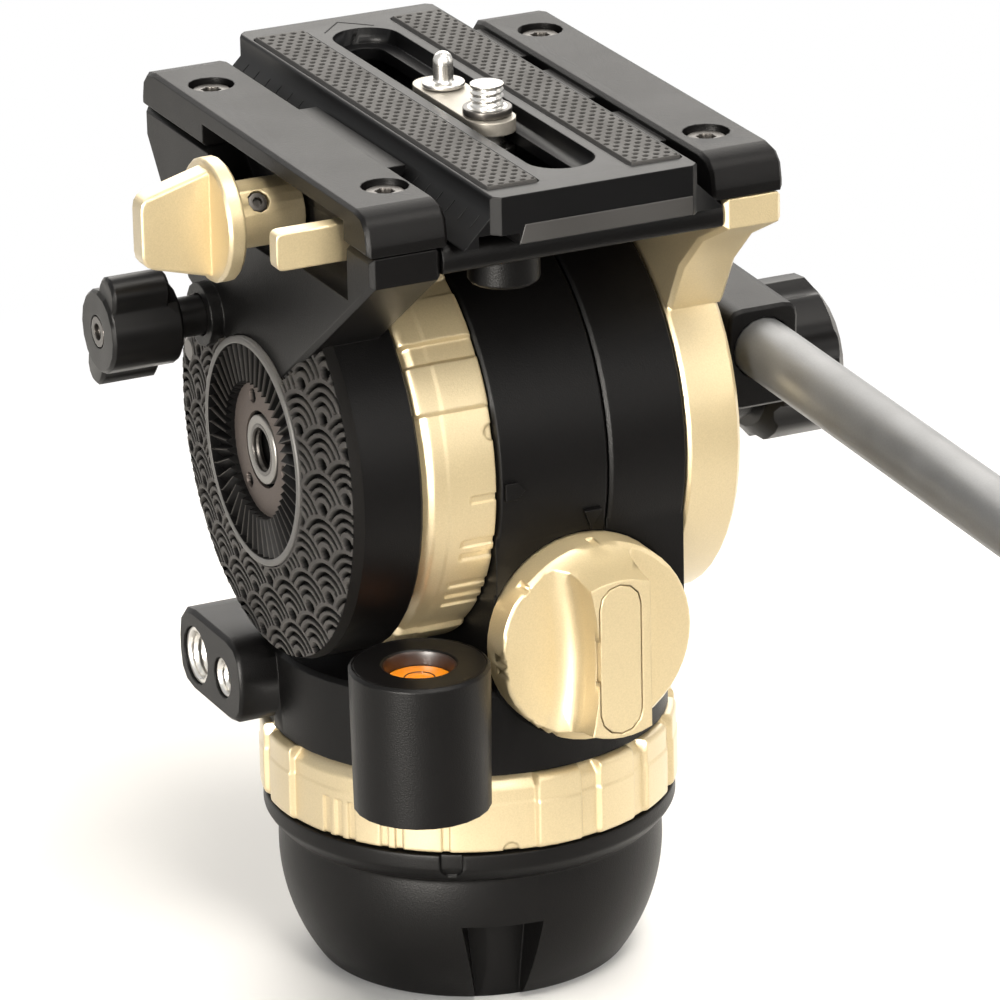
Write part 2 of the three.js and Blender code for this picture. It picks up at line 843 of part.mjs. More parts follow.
function tiltBearing(name, x0) {
  const profile = tubeProfile(shaft_radius + seat_gap, bearing_radius, x0, x0 + barrel_wall);
  return mesh(name, moved(revolveX(profile, shaft_facets), 0, 0, tilt_axis_z), bearing_steel());
}

class Helix extends THREE.Curve {
  constructor(radius, pitch, turns) {
    super();
    Object.assign(this, { radius, pitch, turns });
  }

  getPoint(t, target = new THREE.Vector3()) {
    const angle = 2 * Math.PI * this.turns * t;
    return target.set(this.radius * Math.cos(angle), this.radius * Math.sin(angle), this.pitch * this.turns * t);
  }
}

function coil(radius, wire, pitch, turns) {
  const section = new THREE.Shape();
  section.absarc(0, 0, wire, 0, 2 * Math.PI, false);
  return new THREE.ExtrudeGeometry(section, {
    steps: turns * spring_steps_per_turn,
    extrudePath: new Helix(radius, pitch, turns),
    curveSegments: wire_facets,
  });
}

function counterbalanceSpring() {
  const start = barrel_left_x + barrel_wall + seat_gap + spring_wire_radius;
  const end = barrel_right_x - barrel_wall - seat_gap - spring_wire_radius;
  const wound = coil(spring_radius, spring_wire_radius, (end - start) / spring_turns, spring_turns);
  const body = moved(solid(wound.rotateY(Math.PI / 2)), start, 0, tilt_axis_z);
  return mesh('counterbalance_spring', body, bearing_steel());
}

// Counterbalance knob: a rim with a standing grip bar between two scoops

function knobScoop(side, reach, waist, fillet) {
  const far = 2 * knob_radius;
  const shape = new THREE.Shape();
  shape.moveTo(side * far, -knob_bar_reach);
  shape.lineTo(side * far, -far);
  shape.lineTo(side * (reach + fillet), -far);
  shape.lineTo(side * reach, -knob_bar_reach);
  shape.quadraticCurveTo(side * (2 * waist - reach), 0, side * reach, knob_bar_reach);
  shape.lineTo(side * (reach + fillet), far);
  shape.lineTo(side * far, far);
  shape.closePath();
  const bottom = knob_back_y - knob_rim_depth;
  const cutter = new THREE.ExtrudeGeometry(shape, {
    depth: knob_bar_depth + fillet + cut_extra,
    bevelEnabled: true,
    bevelThickness: fillet,
    bevelSize: fillet,
    bevelOffset: -fillet,
    bevelSegments: 3,
    curveSegments: corner_facets * 3,
  }).applyMatrix4(to_y).translate(knob_x, bottom - fillet, knob_z);
  return solid(cutter);
}

function knobNotches() {
  const notches = [];
  for (let setting = 0; setting <= knob_settings; setting += 1) {
    const count = Math.max(setting, 1);
    for (let i = 0; i < count; i += 1) {
      const spread = (i - (count - 1) / 2) * knob_notch_spread_deg;
      const angle = setting * knob_notch_pitch_deg + spread;
      const profile = rod(knob_notch_radius, 0, knob_notch_length);
      const groove = revolveY(profile, corner_facets * 2);
      const front = knob_back_y - knob_rim_depth + knob_notch_length - knob_notch_radius;
      const x = knob_x - knob_radius * Math.sin(radians(angle));
      notches.push(moved(groove, x, front, knob_z + knob_radius * Math.cos(radians(angle))));
    }
  }
  return notches;
}

function knobInset(gap) {
  const shape = stadium(knob_x + (knob_bar_right - knob_bar_left) / 2, knob_z,
    knob_inset_width / 2 + gap, knob_inset_length / 2 + gap);
  return shape;
}

function counterbalanceKnob() {
  const rim = knob_back_y - knob_rim_depth;
  const front = rim - knob_bar_depth;
  const envelope = moved(revolveY([
    [0, 0], [knob_radius, 0], [knob_radius, knob_rim_depth - knob_rim_bevel],
    [knob_radius - knob_rim_bevel, knob_rim_depth], [knob_radius * 0.885, knob_rim_depth + knob_bar_depth * 0.25],
    [knob_radius * 0.825, knob_rim_depth + knob_bar_depth * 0.6],
    [knob_bar_top_radius, knob_rim_depth + knob_bar_depth], [0, knob_rim_depth + knob_bar_depth],
  ], ring_facets), knob_x, knob_back_y, knob_z);
  const inset = prismY(knobInset(seat_gap), front - cut_extra, front + knob_inset_depth + seat_gap);
  const spindle = moved(revolveY(rod(knob_spindle_radius + seat_gap, -cut_extra, knob_rim_depth), shaft_facets),
    knob_x, knob_back_y, knob_z);
  return mesh('counterbalance_knob', cut(envelope, [
    knobScoop(-1, knob_bar_left, knob_bar_left_waist, knob_scoop_fillet),
    knobScoop(1, knob_bar_right, knob_bar_right, knob_wall_fillet), inset, spindle, ...knobNotches(),
  ]), gold_paint());
}

function knobCover() {
  const front = knob_back_y - knob_rim_depth - knob_bar_depth;
  const body = prismY(knobInset(0), front, front + knob_inset_depth);
  return mesh('knob_cover', body, gold_paint());
}

function knobSpindle() {
  const profile = rod(knob_spindle_radius, -knob_spindle_length / 2, knob_rim_depth - seat_gap);
  return mesh('knob_spindle', moved(revolveY(profile, shaft_facets), knob_x, knob_back_y, knob_z), steel());
}

// Tilt drag ring and pack, in the tilt frame

function tiltDragRing() {
  const body = dragRingBody().rotate([0, 0, tilt_ring_turn_deg]).rotate([0, -90, 0]);
  const turned = body.rotate([90, 0, 0]);
  return mesh('tilt_drag_ring', moved(turned, tilt_ring_right_x, 0, 0), gold_paint());
}

function tiltDragPack() {
  const x = barrel_left_x - guide_height - seat_gap - pack_height;
  const body = revolveX(frictionPack(shaft_radius + run_gap), ring_facets / 2);
  return mesh('tilt_drag_pack', moved(body, x, 0, tilt_axis_z), friction_disc());
}

// Arms: one side profile for both, wide under the platform and narrowing to the disc

function armOutline(grow = 0) {
  return outline([
    [arm_rear_y, arm_top], [arm_rear_y, arm_corner], [arm_tip_rear_y - grow, arm_tip_height - grow],
    [arm_tip_front_y + grow, arm_tip_height - grow], [arm_shoulder_y + grow, arm_shoulder_height],
    [arm_front_y, arm_corner], [arm_front_y, arm_top],
  ]);
}

// The right arm's edges sweep in from the cap to meet its disc.
function rightArmOutline() {
  const shape = new THREE.Shape();
  shape.moveTo(arm_rear_y, arm_top);
  shape.lineTo(arm_rear_y, arm_corner);
  shape.quadraticCurveTo(-right_curve_y, right_curve_height, -right_foot_y, right_foot_height);
  shape.lineTo(arm_tip_rear_y, arm_tip_height);
  shape.lineTo(arm_tip_front_y, arm_tip_height);
  shape.lineTo(right_foot_y, right_foot_height);
  shape.quadraticCurveTo(right_curve_y, right_curve_height, arm_front_y, arm_corner);
  shape.lineTo(arm_front_y, arm_top);
  shape.closePath();
  return shape;
}

function windowOutline() {
  return outline([
    [window_rear_y, window_sill], [window_step_y, window_sill], [window_low_y, window_low_sill],
    [window_slope_y, window_low_sill], [window_front_y, arm_top], [window_front_y, window_head],
    [window_rear_y, window_head],
  ]);
}

function windowCutter() {
  return prismX(windowOutline(), left_cap_outer_x - cut_extra, window_back_x);
}

function boreX(radius, x0, x1, y, z, facets = shaft_facets) {
  return moved(revolveX(rod(radius, x0, x1), facets), 0, y, z);
}

function screwBores(top, bottom) {
  const profile = rod(screw_shank_radius + seat_gap, bottom, top);
  return cap_screw_places.map(([x, y]) => moved(revolveZ(profile, corner_facets * 3), x, y, 0));
}

function leftArm() {
  const panel = prismX(armOutline(), left_panel_x, left_inner_x, arm_edge);
  const drum = revolveX([
    [0, drum_left_x], [drum_radius - body_edge, drum_left_x], [drum_radius, drum_left_x + body_edge],
    [drum_radius, drum_right_x - body_edge], [drum_radius - body_edge, drum_right_x],
    [guide_radius, drum_right_x], [guide_radius, drum_right_x + guide_height - seat_gap],
    [0, drum_right_x + guide_height - seat_gap],
  ]);
  const lock_boss = boreX(tilt_lock_boss_radius, left_panel_x - tilt_lock_boss_length, left_inner_x,
    tilt_lock_y, tilt_lock_height);
  const screw_floor = cap_top - counterbore_depth - screw_length - seat_gap;
  return mesh('left_arm', cut(join([panel, drum, lock_boss]), [
    windowCutter(),
    boreX(rosette_radius + seat_gap, left_panel_x - rosette_height, drum_left_x, 0, 0, ring_facets),
    boreX(shaft_radius + seat_gap, shaft_left_x - seat_gap, drum_right_x + 2 * guide_height, 0, 0),
    boreX(lock_shaft_radius + seat_gap, window_back_x - cut_extra, lock_shaft_right_x + seat_gap,
      lock_y, lock_height),
    boreX(tilt_lock_stem_radius + seat_gap, tilt_lock_stem_x, left_inner_x - barrel_wall,
      tilt_lock_y, tilt_lock_height),
    boreX(side_screw_radius + seat_gap, left_panel_x - cut_extra, drum_left_x + side_screw_depth,
      side_screw_y, side_screw_height),
    ...screwBores(cap_top, screw_floor),
  ]), black_paint());
}

function waveDisc() {
  const back = wave_disc_face_x + wave_disc_thickness;
  const inner = rosette_radius + seat_gap;
  const disc = revolveX([
    [inner, back], [inner, wave_disc_face_x - wave_disc_rise], [wave_disc_radius, wave_disc_face_x],
    [wave_disc_radius, back],
  ]);
  const front = wave_disc_face_x - wave_disc_rise - cut_extra;
  const arm = prismX(armOutline(seat_gap), front, back + cut_extra);
  const screw = boreX(side_screw_radius + seat_gap, front, back + cut_extra, side_screw_y, side_screw_height);
  const lock = boreX(tilt_lock_boss_radius + seat_gap, front, back + cut_extra, tilt_lock_y, tilt_lock_height);
  return mesh('wave_disc', cut(disc, [arm, screw, lock]), black_anodised());
}

// A rosette lies on z = 0 and its teeth face +Z; every other spoke of the lathe is a tooth root.
function rosetteBody(bore, pins) {
  const hub = rosette_height - rosette_hub_drop;
  const crest = rosette_height - rosette_tooth_drop;
  const profile = [
    [bore, 0], [rosette_radius, 0], [rosette_radius, rosette_height], [rosette_rim_inner, rosette_height],
    [rosette_rim_inner, crest], [rosette_tooth_inner, crest], [rosette_hub_radius, hub], [bore, hub],
  ];
  const geometry = lathe(profile, rosette_teeth * 2);
  const position = geometry.attributes.position;
  for (let i = 0; i < position.count; i += 1) {
    const spoke = Math.floor(i / (profile.length + 1));
    const point = i % (profile.length + 1);
    const toothed = point === 4 || point === 5;
    if (toothed && spoke % 2 === 1) {
      const share = profile[point][0] / rosette_rim_inner;
      position.setZ(i, position.getZ(i) - rosette_tooth_depth * share);
    }
  }
  const cutters = [];
  for (let i = 0; i < pins; i += 1) {
    const angle = radians(150 + i * 360 / pins);
    const hole = revolveZ(rod(rosette_pin_radius, hub / 2, rosette_height), corner_facets * 2);
    cutters.push(moved(hole, rosette_pin_circle * Math.cos(angle), rosette_pin_circle * Math.sin(angle), 0));
  }
  return cut(solid(geometry), cutters);
}

function leftRosette() {
  const body = rosetteBody(rosette_bore + seat_gap, rosette_pins).rotate([0, -90, 0]);
  return mesh('left_rosette', moved(body, drum_left_x - seat_gap, 0, 0), black_anodised());
}

function rosetteInsert(name, side, face) {
  const profile = tubeProfile(rosette_insert_hole, rosette_bore, 0, rosette_insert_length - seat_gap);
  const body = revolveX(profile, shaft_facets);
  const x = side < 0 ? face - rosette_insert_length : face + seat_gap;
  return mesh(name, moved(body, x, 0, 0), steel());
}

function rightArm() {
  const panel = prismX(rightArmOutline(), right_inner_x, right_panel_x, arm_edge);
  const disc = revolveX([
    [0, disc_left_x], [disc_radius - body_edge, disc_left_x], [disc_radius, disc_left_x + body_edge],
    [disc_radius, disc_right_x - arm_edge], [disc_radius - arm_edge, disc_right_x], [0, disc_right_x],
  ]);
  const screw_floor = cap_top - counterbore_depth - screw_length - seat_gap;
  return mesh('right_arm', cut(join([panel, disc]), [
    boreX(rosette_radius + seat_gap, disc_right_x - rosette_height / 2, right_panel_x + rosette_height,
      0, 0, ring_facets),
    boreX(shaft_radius + seat_gap, disc_left_x - cut_extra, shaft_right_x + seat_gap, 0, 0),
    ...screwBores(cap_top, screw_floor),
  ]), gold_paint());
}

const right_rosette_x = disc_right_x - rosette_height / 2 + seat_gap;

function rightRosette() {
  const body = rosetteBody(rosette_bore + seat_gap, 0).rotate([0, 90, 0]);
  return mesh('right_rosette', moved(body, right_rosette_x, 0, 0), black_anodised());
}

function tiltShaft() {
  return mesh('tilt_shaft', revolveX(rod(shaft_radius, shaft_left_x, shaft_right_x), shaft_facets), steel());
}

// Platform floor, safety catch, caps and their screws

function floorPlate() {
  const left = left_inner_x + seat_gap;
  const right = right_inner_x - seat_gap;
  const shape = roundedOutline(box2(arm_rear_y, arm_front_y, floor_underside, arm_top),
    [floor_lip_radius / 2, floor_lip_radius / 2, floor_lip_radius, floor_lip_radius]);
  const slab = prismX(shape, left, right);
  const bore = revolveZ(rod(catch_pin_radius + seat_gap, floor_underside - cut_extra, arm_top + cut_extra),
    shaft_facets);
  const gap = disc_radius + run_gap;
  const belly = revolveX(rod(gap, disc_left_x - cut_extra, disc_right_x), ring_facets);
  return mesh('floor_plate', cut(slab, [moved(bore, catch_x, catch_y, 0), belly]), black_paint());
}

function catchHousing() {
  const top = floor_underside - seat_gap;
  const foot = top - catch_housing_depth;
  const bore = catch_flange_radius + seat_gap;
  const profile = [
    [catch_pin_radius + seat_gap, foot], [catch_housing_radius - body_edge, foot],
    [catch_housing_radius, foot + body_edge], [catch_housing_radius, top], [bore, top],
    [bore, foot + cut_extra], [catch_pin_radius + seat_gap, foot + cut_extra],
  ];
  return mesh('catch_housing', moved(revolveZ(profile, shaft_facets), catch_x, catch_y, 0), black_paint());
}

function catchPin() {
  const top = arm_top + catch_pin_rise;
  const flange_top = floor_underside - seat_gap;
  const foot = floor_underside - catch_housing_depth + catch_pin_rise;
  const profile = [
    [0, foot], [catch_pin_radius, foot], [catch_pin_radius, flange_top - cut_extra],
    [catch_flange_radius, flange_top - cut_extra], [catch_flange_radius, flange_top],
    [catch_pin_radius, flange_top], [catch_pin_radius, top - body_edge], [catch_pin_radius - body_edge, top],
    [0, top],
  ];
  return mesh('catch_pin', moved(revolveZ(profile, shaft_facets), catch_x, catch_y, 0), steel());
}

function catchSpring() {
  const start = floor_underside - seat_gap - catch_housing_depth + cut_extra + 2 * catch_spring_wire;
  const end = floor_underside - seat_gap - cut_extra - 2 * catch_spring_wire;
  const pitch = (end - start) / catch_spring_turns;
  const wound = coil(catch_spring_radius, catch_spring_wire, pitch, catch_spring_turns);
  return mesh('catch_spring', moved(solid(wound), catch_x, catch_y, start), steel());
}

const cap_foot = arm_top + seat_gap;

function capBody(x0, x1) {
  const shape = roundedOutline(box2(arm_rear_y, arm_front_y, cap_foot, cap_top), [0, 0, cap_round, cap_round]);
  return prismX(shape, x0, x1, cap_edge);
}

function counterbores() {
  const profile = rod(counterbore_radius, cap_top - counterbore_depth - seat_gap, cap_top + cut_extra);
  return cap_screw_places.map(([x, y]) => moved(revolveZ(profile, shaft_facets), x, y, 0));
}

// The lip hangs over the dovetail at 45 degrees.
function lipOutline(side, root) {
  const slope_foot = plate_waist - (root - plate_half_width) + lip_slope_gap;
  return outline([
    [side * root, slope_foot], [side * lip_reach_x, slope_foot + root - lip_reach_x],
    [side * lip_reach_x, lip_top_height], [side * root, lip_top_height],
  ]);
}

function shoePocket() {
  const back = left_cap_inner_x - shoe_depth - shoe_travel - seat_gap;
  const shape = outline(box2(back, left_cap_inner_x + cut_extra, cap_foot - cut_extra, lip_top_height + seat_gap));
  return prismY(shape, shoe_rear_y - seat_gap, shoe_front_y + seat_gap);
}

function leftCap() {
  return mesh('left_cap', cut(capBody(left_cap_outer_x, left_cap_inner_x), [
    windowCutter(), shoePocket(), ...screwBores(cap_top, floor_underside), ...counterbores(),
  ]), black_paint());
}

function rightCap() {
  const lips = [];
  for (let i = 0; i < right_lips; i += 1) {
    const middle = right_lip_first_y + i * right_lip_pitch;
    const half = right_lip_length / 2;
    const root = right_cap_inner_x + seat_gap;
    lips.push(prismY(lipOutline(1, root), middle - half, middle + half));
  }
  return mesh('right_cap', cut(join([capBody(right_cap_inner_x, right_cap_outer_x), ...lips]), [
    ...screwBores(cap_top, floor_underside), ...counterbores(),
  ]), black_paint());
}

function clampShoe() {
  const back = -left_cap_inner_x + shoe_depth;
  const foot = cap_foot + seat_gap;
  const slope_foot = plate_waist - (-left_cap_inner_x - plate_half_width) + lip_slope_gap;
  const shape = outline([
    [-back, foot], [left_cap_inner_x, foot], [left_cap_inner_x, slope_foot],
    [-lip_reach_x, slope_foot - left_cap_inner_x - lip_reach_x], [-lip_reach_x, lip_top_height],
    [-back, lip_top_height],
  ]);
  return mesh('clamp_shoe', prismY(shape, shoe_rear_y, shoe_front_y), black_anodised());
}

function capScrew(i) {
  const [x, y] = cap_screw_places[i];
  const seat = cap_top - counterbore_depth;
  const head = seat + screw_head_height;
  const profile = [
    [0, seat - screw_length], [screw_shank_radius, seat - screw_length], [screw_shank_radius, seat],
    [screw_head_radius, seat], [screw_head_radius, head - body_edge / 2], [screw_head_radius - body_edge / 2, head],
    [screw_socket_radius, head], [screw_socket_radius, head - screw_socket_depth], [0, head - screw_socket_depth],
  ];
  return mesh(`cap_screw_${i + 1}`, moved(revolveZ(profile, corner_facets * 4), x, y, 0), bearing_steel());
}

function armSideScrew() {
  const profile = [
    [0, drum_left_x + side_screw_depth - seat_gap], [side_screw_radius, drum_left_x + side_screw_depth - seat_gap],
    [side_screw_radius, wave_disc_face_x - body_edge], [side_screw_radius - body_edge, wave_disc_face_x - cut_extra],
    [0, wave_disc_face_x - cut_extra],
  ];
  const body = moved(revolveX(profile, corner_facets * 5), 0, side_screw_y, side_screw_height);
  return mesh('arm_side_screw', body, black_anodised());
}

// Quick-release plate and what it carries

const plate_foot = arm_top + 2 * seat_gap;

function plateOutline() {
  const wing = plate_foot_half_width;
  const slope_top = plate_waist;
  const slope_foot = plate_waist - (wing - plate_half_width);
  const hollow = plate_foot + hollow_depth;
  return outline([
    [-wing, plate_foot], [-hollow_outer_x, plate_foot], [-hollow_outer_x, hollow], [-hollow_inner_x, hollow],
    [-hollow_inner_x, plate_foot], [wing, plate_foot], [wing, slope_foot], [plate_half_width, slope_top],
    [plate_half_width, plate_top - plate_top_bevel], [plate_half_width - plate_top_bevel, plate_top],
    [-plate_half_width + plate_top_bevel, plate_top], [-plate_half_width, plate_top - plate_top_bevel],
    [-plate_half_width, slope_top], [-wing, slope_foot],
  ]);
}

function plateFootprint() {
  const half = plate_half_width;
  const wing = plate_foot_half_width + cut_extra;
  const c = plate_corner;
  const rear = plate_rear_y;
  const front = plate_front_y;
  return outline([
    [-half + c, rear], [half - c, rear], [half, rear + c], [wing, rear + c], [wing, front - c], [half, front - c],
    [half - c, front], [-half + c, front], [-half, front - c], [-wing, front - c], [-wing, rear + c],
    [-half, rear + c],
  ]);
}

function stripShape(side, gap) {
  const inner = strip_inner_x - gap;
  const outer = strip_inner_x + strip_width + gap;
  const [left, right] = side < 0 ? [-outer, -inner] : [inner, outer];
  const corners = box2(left, right, strip_rear_y - gap, strip_rear_y + strip_length + gap);
  return roundedOutline(corners, Array(4).fill(plate_corner));
}

const strip_floor = plate_top - strip_recess - seat_gap;
const slot_y = (slot_rear_y + slot_front_y) / 2;
const slot_half_length = (slot_front_y - slot_rear_y) / 2;

function quickReleasePlate() {
  const body = prismY(plateOutline(), plate_rear_y, plate_front_y)
    .intersect(prismZ(plateFootprint(), plate_foot - cut_extra, plate_top + cut_extra));
  const ledge = slot_upper_half_width - slot_lower_half_width;
  const under = slot_upper_half_width - slot_under_half_width;
  const upper = stadium(0, slot_y, slot_upper_half_width, slot_half_length);
  const lower = stadium(0, slot_y, slot_lower_half_width, slot_half_length - ledge);
  const below = stadium(0, slot_y, slot_under_half_width, slot_half_length - under);
  const groove = stadium(catch_x, (catch_groove_rear_y + catch_groove_front_y) / 2, catch_groove_half_width,
    (catch_groove_front_y - catch_groove_rear_y) / 2);
  const top = plate_top + cut_extra;
  return mesh('quick_release_plate', cut(body, [
    prismZ(upper, plate_top - slot_upper_depth, top, 0, corner_facets * 3),
    prismZ(lower, plate_foot - cut_extra, top, 0, corner_facets * 3),
    prismZ(below, plate_foot - cut_extra, plate_foot + slot_under_depth, 0, corner_facets * 3),
    prismZ(groove, plate_foot - cut_extra, plate_foot + catch_groove_depth, 0, corner_facets * 2),
    prismZ(stripShape(-1, seat_gap), strip_floor, top),
    prismZ(stripShape(1, seat_gap), strip_floor, top),
  ]), black_anodised());
}

function rubberStrip(name, side) {
  const foot = strip_floor + seat_gap;
  return mesh(name, prismZ(stripShape(side, 0), foot, foot + strip_thickness), rubber());
}

const carrier_foot = plate_top - slot_upper_depth + seat_gap;
const carrier_top = carrier_foot + carrier_thickness;

function screwCarrier() {
  const shape = stadium(0, carrier_y, carrier_width / 2, carrier_length / 2);
  const plate = prismZ(shape, carrier_foot, carrier_top, 0, corner_facets * 3);
  const holes = [
    moved(revolveZ(rod(camera_thread_radius + seat_gap, carrier_foot - cut_extra, carrier_top + cut_extra),
      shaft_facets), 0, camera_screw_y, 0),
    moved(revolveZ(rod(video_pin_radius + seat_gap, carrier_foot - cut_extra, carrier_top + cut_extra),
      shaft_facets), 0, video_pin_y, 0),
  ];
  return mesh('screw_carrier', cut(plate, holes), steel());
}

function cameraScrew() {
  const head_top = plate_foot + slot_under_depth - seat_gap;
  const collar = carrier_top + seat_gap;
  const thread_top = collar + camera_collar_height + camera_thread_height;
  const profile = [
    [0, head_top - camera_head_height], [camera_head_radius, head_top - camera_head_height],
    [camera_head_radius, head_top], [camera_thread_radius, head_top], [camera_thread_radius, collar],
    [camera_collar_radius, collar], [camera_collar_radius, collar + camera_collar_height],
    [camera_thread_radius, collar + camera_collar_height], [camera_thread_radius, thread_top - body_edge],
    [camera_thread_radius - body_edge, thread_top], [0, thread_top],
  ];
  return mesh('camera_screw', moved(revolveZ(profile, shaft_facets), 0, camera_screw_y, 0), steel());
}

function videoPin() {
  const flange = carrier_top + seat_gap;
  const top = flange + video_flange_height + video_pin_height;
  const foot = plate_foot + slot_under_depth + seat_gap;
  const profile = [
    [0, foot], [video_pin_radius, foot], [video_pin_radius, flange], [video_flange_radius, flange],
    [video_flange_radius, flange + video_flange_height], [video_pin_radius * 0.9, flange + video_flange_height],
    [video_pin_radius, top - video_pin_radius * 1.6], [video_pin_radius * 0.8, top - video_pin_radius * 0.5],
    [video_pin_radius * 0.35, top], [0, top],
  ];
  return mesh('video_pin', moved(revolveZ(profile, corner_facets * 4), 0, video_pin_y, 0), steel());
}

// Lock knobs and lever

function plateLockKnob() {
  const flange_right = lock_hub_left_x;
  const flange_left = flange_right - lock_flange_thickness;
  const turned = revolveX([
    [0, flange_left], [lock_flange_radius - body_edge, flange_left], [lock_flange_radius, flange_left + body_edge],
    [lock_flange_radius, flange_right - body_edge], [lock_flange_radius - body_edge, flange_right],
    [lock_hub_radius, flange_right], [lock_hub_radius, lock_hub_right_x],
    [lock_shaft_radius, lock_hub_right_x], [lock_shaft_radius, lock_shaft_right_x], [0, lock_shaft_right_x],
  ], shaft_facets + shaft_facets / 2);
  const tip = lock_fin_tip_half;
  const root = lock_fin_root_half;
  const fin_shape = roundedOutline([
    [lock_fin_end_x, -tip], [flange_left + cut_extra, -root], [flange_left + cut_extra, root], [lock_fin_end_x, tip],
  ], [lock_fin_tip_corner, 0, 0, lock_fin_tip_corner]);
  const half = lock_fin_thickness / 2;
  const fin = prismY(fin_shape, -half, half, body_edge);
  const hole = revolveZ(rod(set_screw_radius + seat_gap, lock_hub_radius - set_screw_depth, 2 * lock_hub_radius),
    corner_facets * 3).rotate([90 - set_screw_angle_deg, 0, 0]);
  const body = cut(turned.add(fin), [moved(hole, set_screw_x, 0, 0)]);
  return mesh('plate_lock_knob', moved(body, 0, lock_y, lock_height), gold_paint());
}

function lockKnobSetScrew() {
  const start = lock_hub_radius - set_screw_depth + seat_gap;
  const end = lock_hub_radius - body_edge;
  const profile = [
    [0, start], [set_screw_radius, start], [set_screw_radius, end], [set_screw_radius / 2, end],
    [set_screw_radius / 2, end - cut_extra], [0, end - cut_extra],
  ];
  const body = revolveZ(profile, corner_facets * 3).rotate([90 - set_screw_angle_deg, 0, 0]);
  return mesh('lock_knob_set_screw', moved(body, set_screw_x, lock_y, lock_height), steel());
}

function plateReleaseLever() {
  const half = lever_thickness / 2;
  const shape = roundedOutline(box2(lever_tip_x, lever_pivot_x, lever_foot, lever_foot + lever_height),
    [lever_tip_corner, 0, 0, lever_tip_corner]);
  const tab = prismY(shape, lever_pivot_y - half, lever_pivot_y + half, body_edge / 2);
  const eye = moved(revolveZ(rod(lever_eye_radius, lever_foot, lever_foot + lever_height), shaft_facets),
    lever_pivot_x, lever_pivot_y, 0);
  return mesh('plate_release_lever', tab.add(eye), gold_paint());
}

// A two-winged knob turned round X, standing from x1 out to x0.
function wingKnob(x0, x1, hub, wing, thickness) {
  const turned = revolveX([
    [0, x0], [hub - body_edge, x0], [hub, x0 + body_edge], [hub, x1 - body_edge], [hub - body_edge, x1], [0, x1],
  ], shaft_facets);
  const shape = stadium(0, 0, thickness / 2, wing);
  const depth = (x1 - x0) * 0.8;
  return turned.add(prismX(shape, x0 + body_edge, x0 + body_edge + depth, body_edge));
}

function tiltLockKnob() {
  const socket = boreX(tilt_lock_screw_radius + seat_gap, tilt_lock_end_x - cut_extra,
    tilt_lock_end_x + tilt_lock_screw_height + seat_gap, 0, 0);
  const stem = revolveX(rod(tilt_lock_stem_radius, tilt_lock_stem_x - cut_extra,
    left_inner_x - barrel_wall - seat_gap), shaft_facets);
  const head = wingKnob(tilt_lock_end_x, tilt_lock_stem_x, tilt_lock_hub_radius, tilt_lock_wing_radius,
    tilt_lock_wing_thickness).rotate([24, 0, 0]);
  const body = cut(head.add(stem), [socket]);
  return mesh('tilt_lock_knob', moved(body, 0, tilt_lock_y, tilt_lock_height), black_paint());
}

function tiltLockScrew() {
  const x = tilt_lock_end_x;
  const profile = [
    [0, x + tilt_lock_screw_height], [tilt_lock_screw_radius, x + tilt_lock_screw_height],
    [tilt_lock_screw_radius, x], [screw_socket_radius, x], [screw_socket_radius, x + cut_extra],
    [0, x + cut_extra],
  ];
  const body = revolveX(profile, corner_facets * 4);
  return mesh('tilt_lock_screw', moved(body, 0, tilt_lock_y, tilt_lock_height), bearing_steel());
}

function pan_lock_bore() {
  const profile = rod(pan_lock_stem_radius + seat_gap, pan_lock_start_radius - seat_gap, 2 * collar_radius);
  const body = revolveY(profile, shaft_facets).rotate([0, 0, pan_lock_azimuth_deg]);
  return moved(body, 0, 0, pan_lock_z);
}

function panLockKnob() {
  const stem = revolveY(rod(pan_lock_stem_radius, pan_lock_start_radius, pan_lock_end_radius - cut_extra),
    shaft_facets);
  const start = collar_radius + 2 * run_gap;
  const hub = revolveY([
    [0, start], [pan_lock_hub_radius, start], [pan_lock_hub_radius, pan_lock_end_radius - body_edge],
    [pan_lock_hub_radius - body_edge, pan_lock_end_radius], [0, pan_lock_end_radius],
  ], shaft_facets);
  const shape = stadium(0, 0, pan_lock_wing_thickness / 2, pan_lock_wing_radius);
  const wing = prismY(shape, -pan_lock_end_radius + body_edge, -start - body_edge, body_edge);
  const body = join([stem, hub, wing]).rotate([0, 0, pan_lock_azimuth_deg]);
  return mesh('pan_lock_knob', moved(body, 0, 0, pan_lock_z), black_paint());
}

// Pan handle, in the handle frame on the tilt axis

function handleClamp() {
  const disc = rosetteLikeDisc();
  const disc_right = clamp_disc_left_x + clamp_disc_thickness;
  const hub = revolveX(rod(clamp_hub_radius, disc_right - cut_extra, clamp_right_x), shaft_facets);
  const shape = roundedOutline(
    box2(socket_x - socket_half_width, socket_x + socket_half_width, socket_bottom, socket_top),
    Array(4).fill(socket_corner));
  const socket = prismY(shape, socket_rear_y, socket_front_y, body_edge);
  const tube_bore = prismY(circle(socket_x, socket_height, tube_radius + seat_gap), socket_rear_y - cut_extra,
    tube_front_y + seat_gap, 0, shaft_facets / 2);
  return mesh('handle_clamp', cut(join([disc, hub, socket]), [
    tube_bore, boreX(handle_bolt_radius + seat_gap, clamp_disc_left_x - rosette_height, clamp_right_x + cut_extra, 0, 0),
  ]), black_paint());
}

function circle(x, y, radius) {
  const shape = new THREE.Shape();
  shape.absarc(x, y, radius, 0, 2 * Math.PI, false);
  return shape;
}

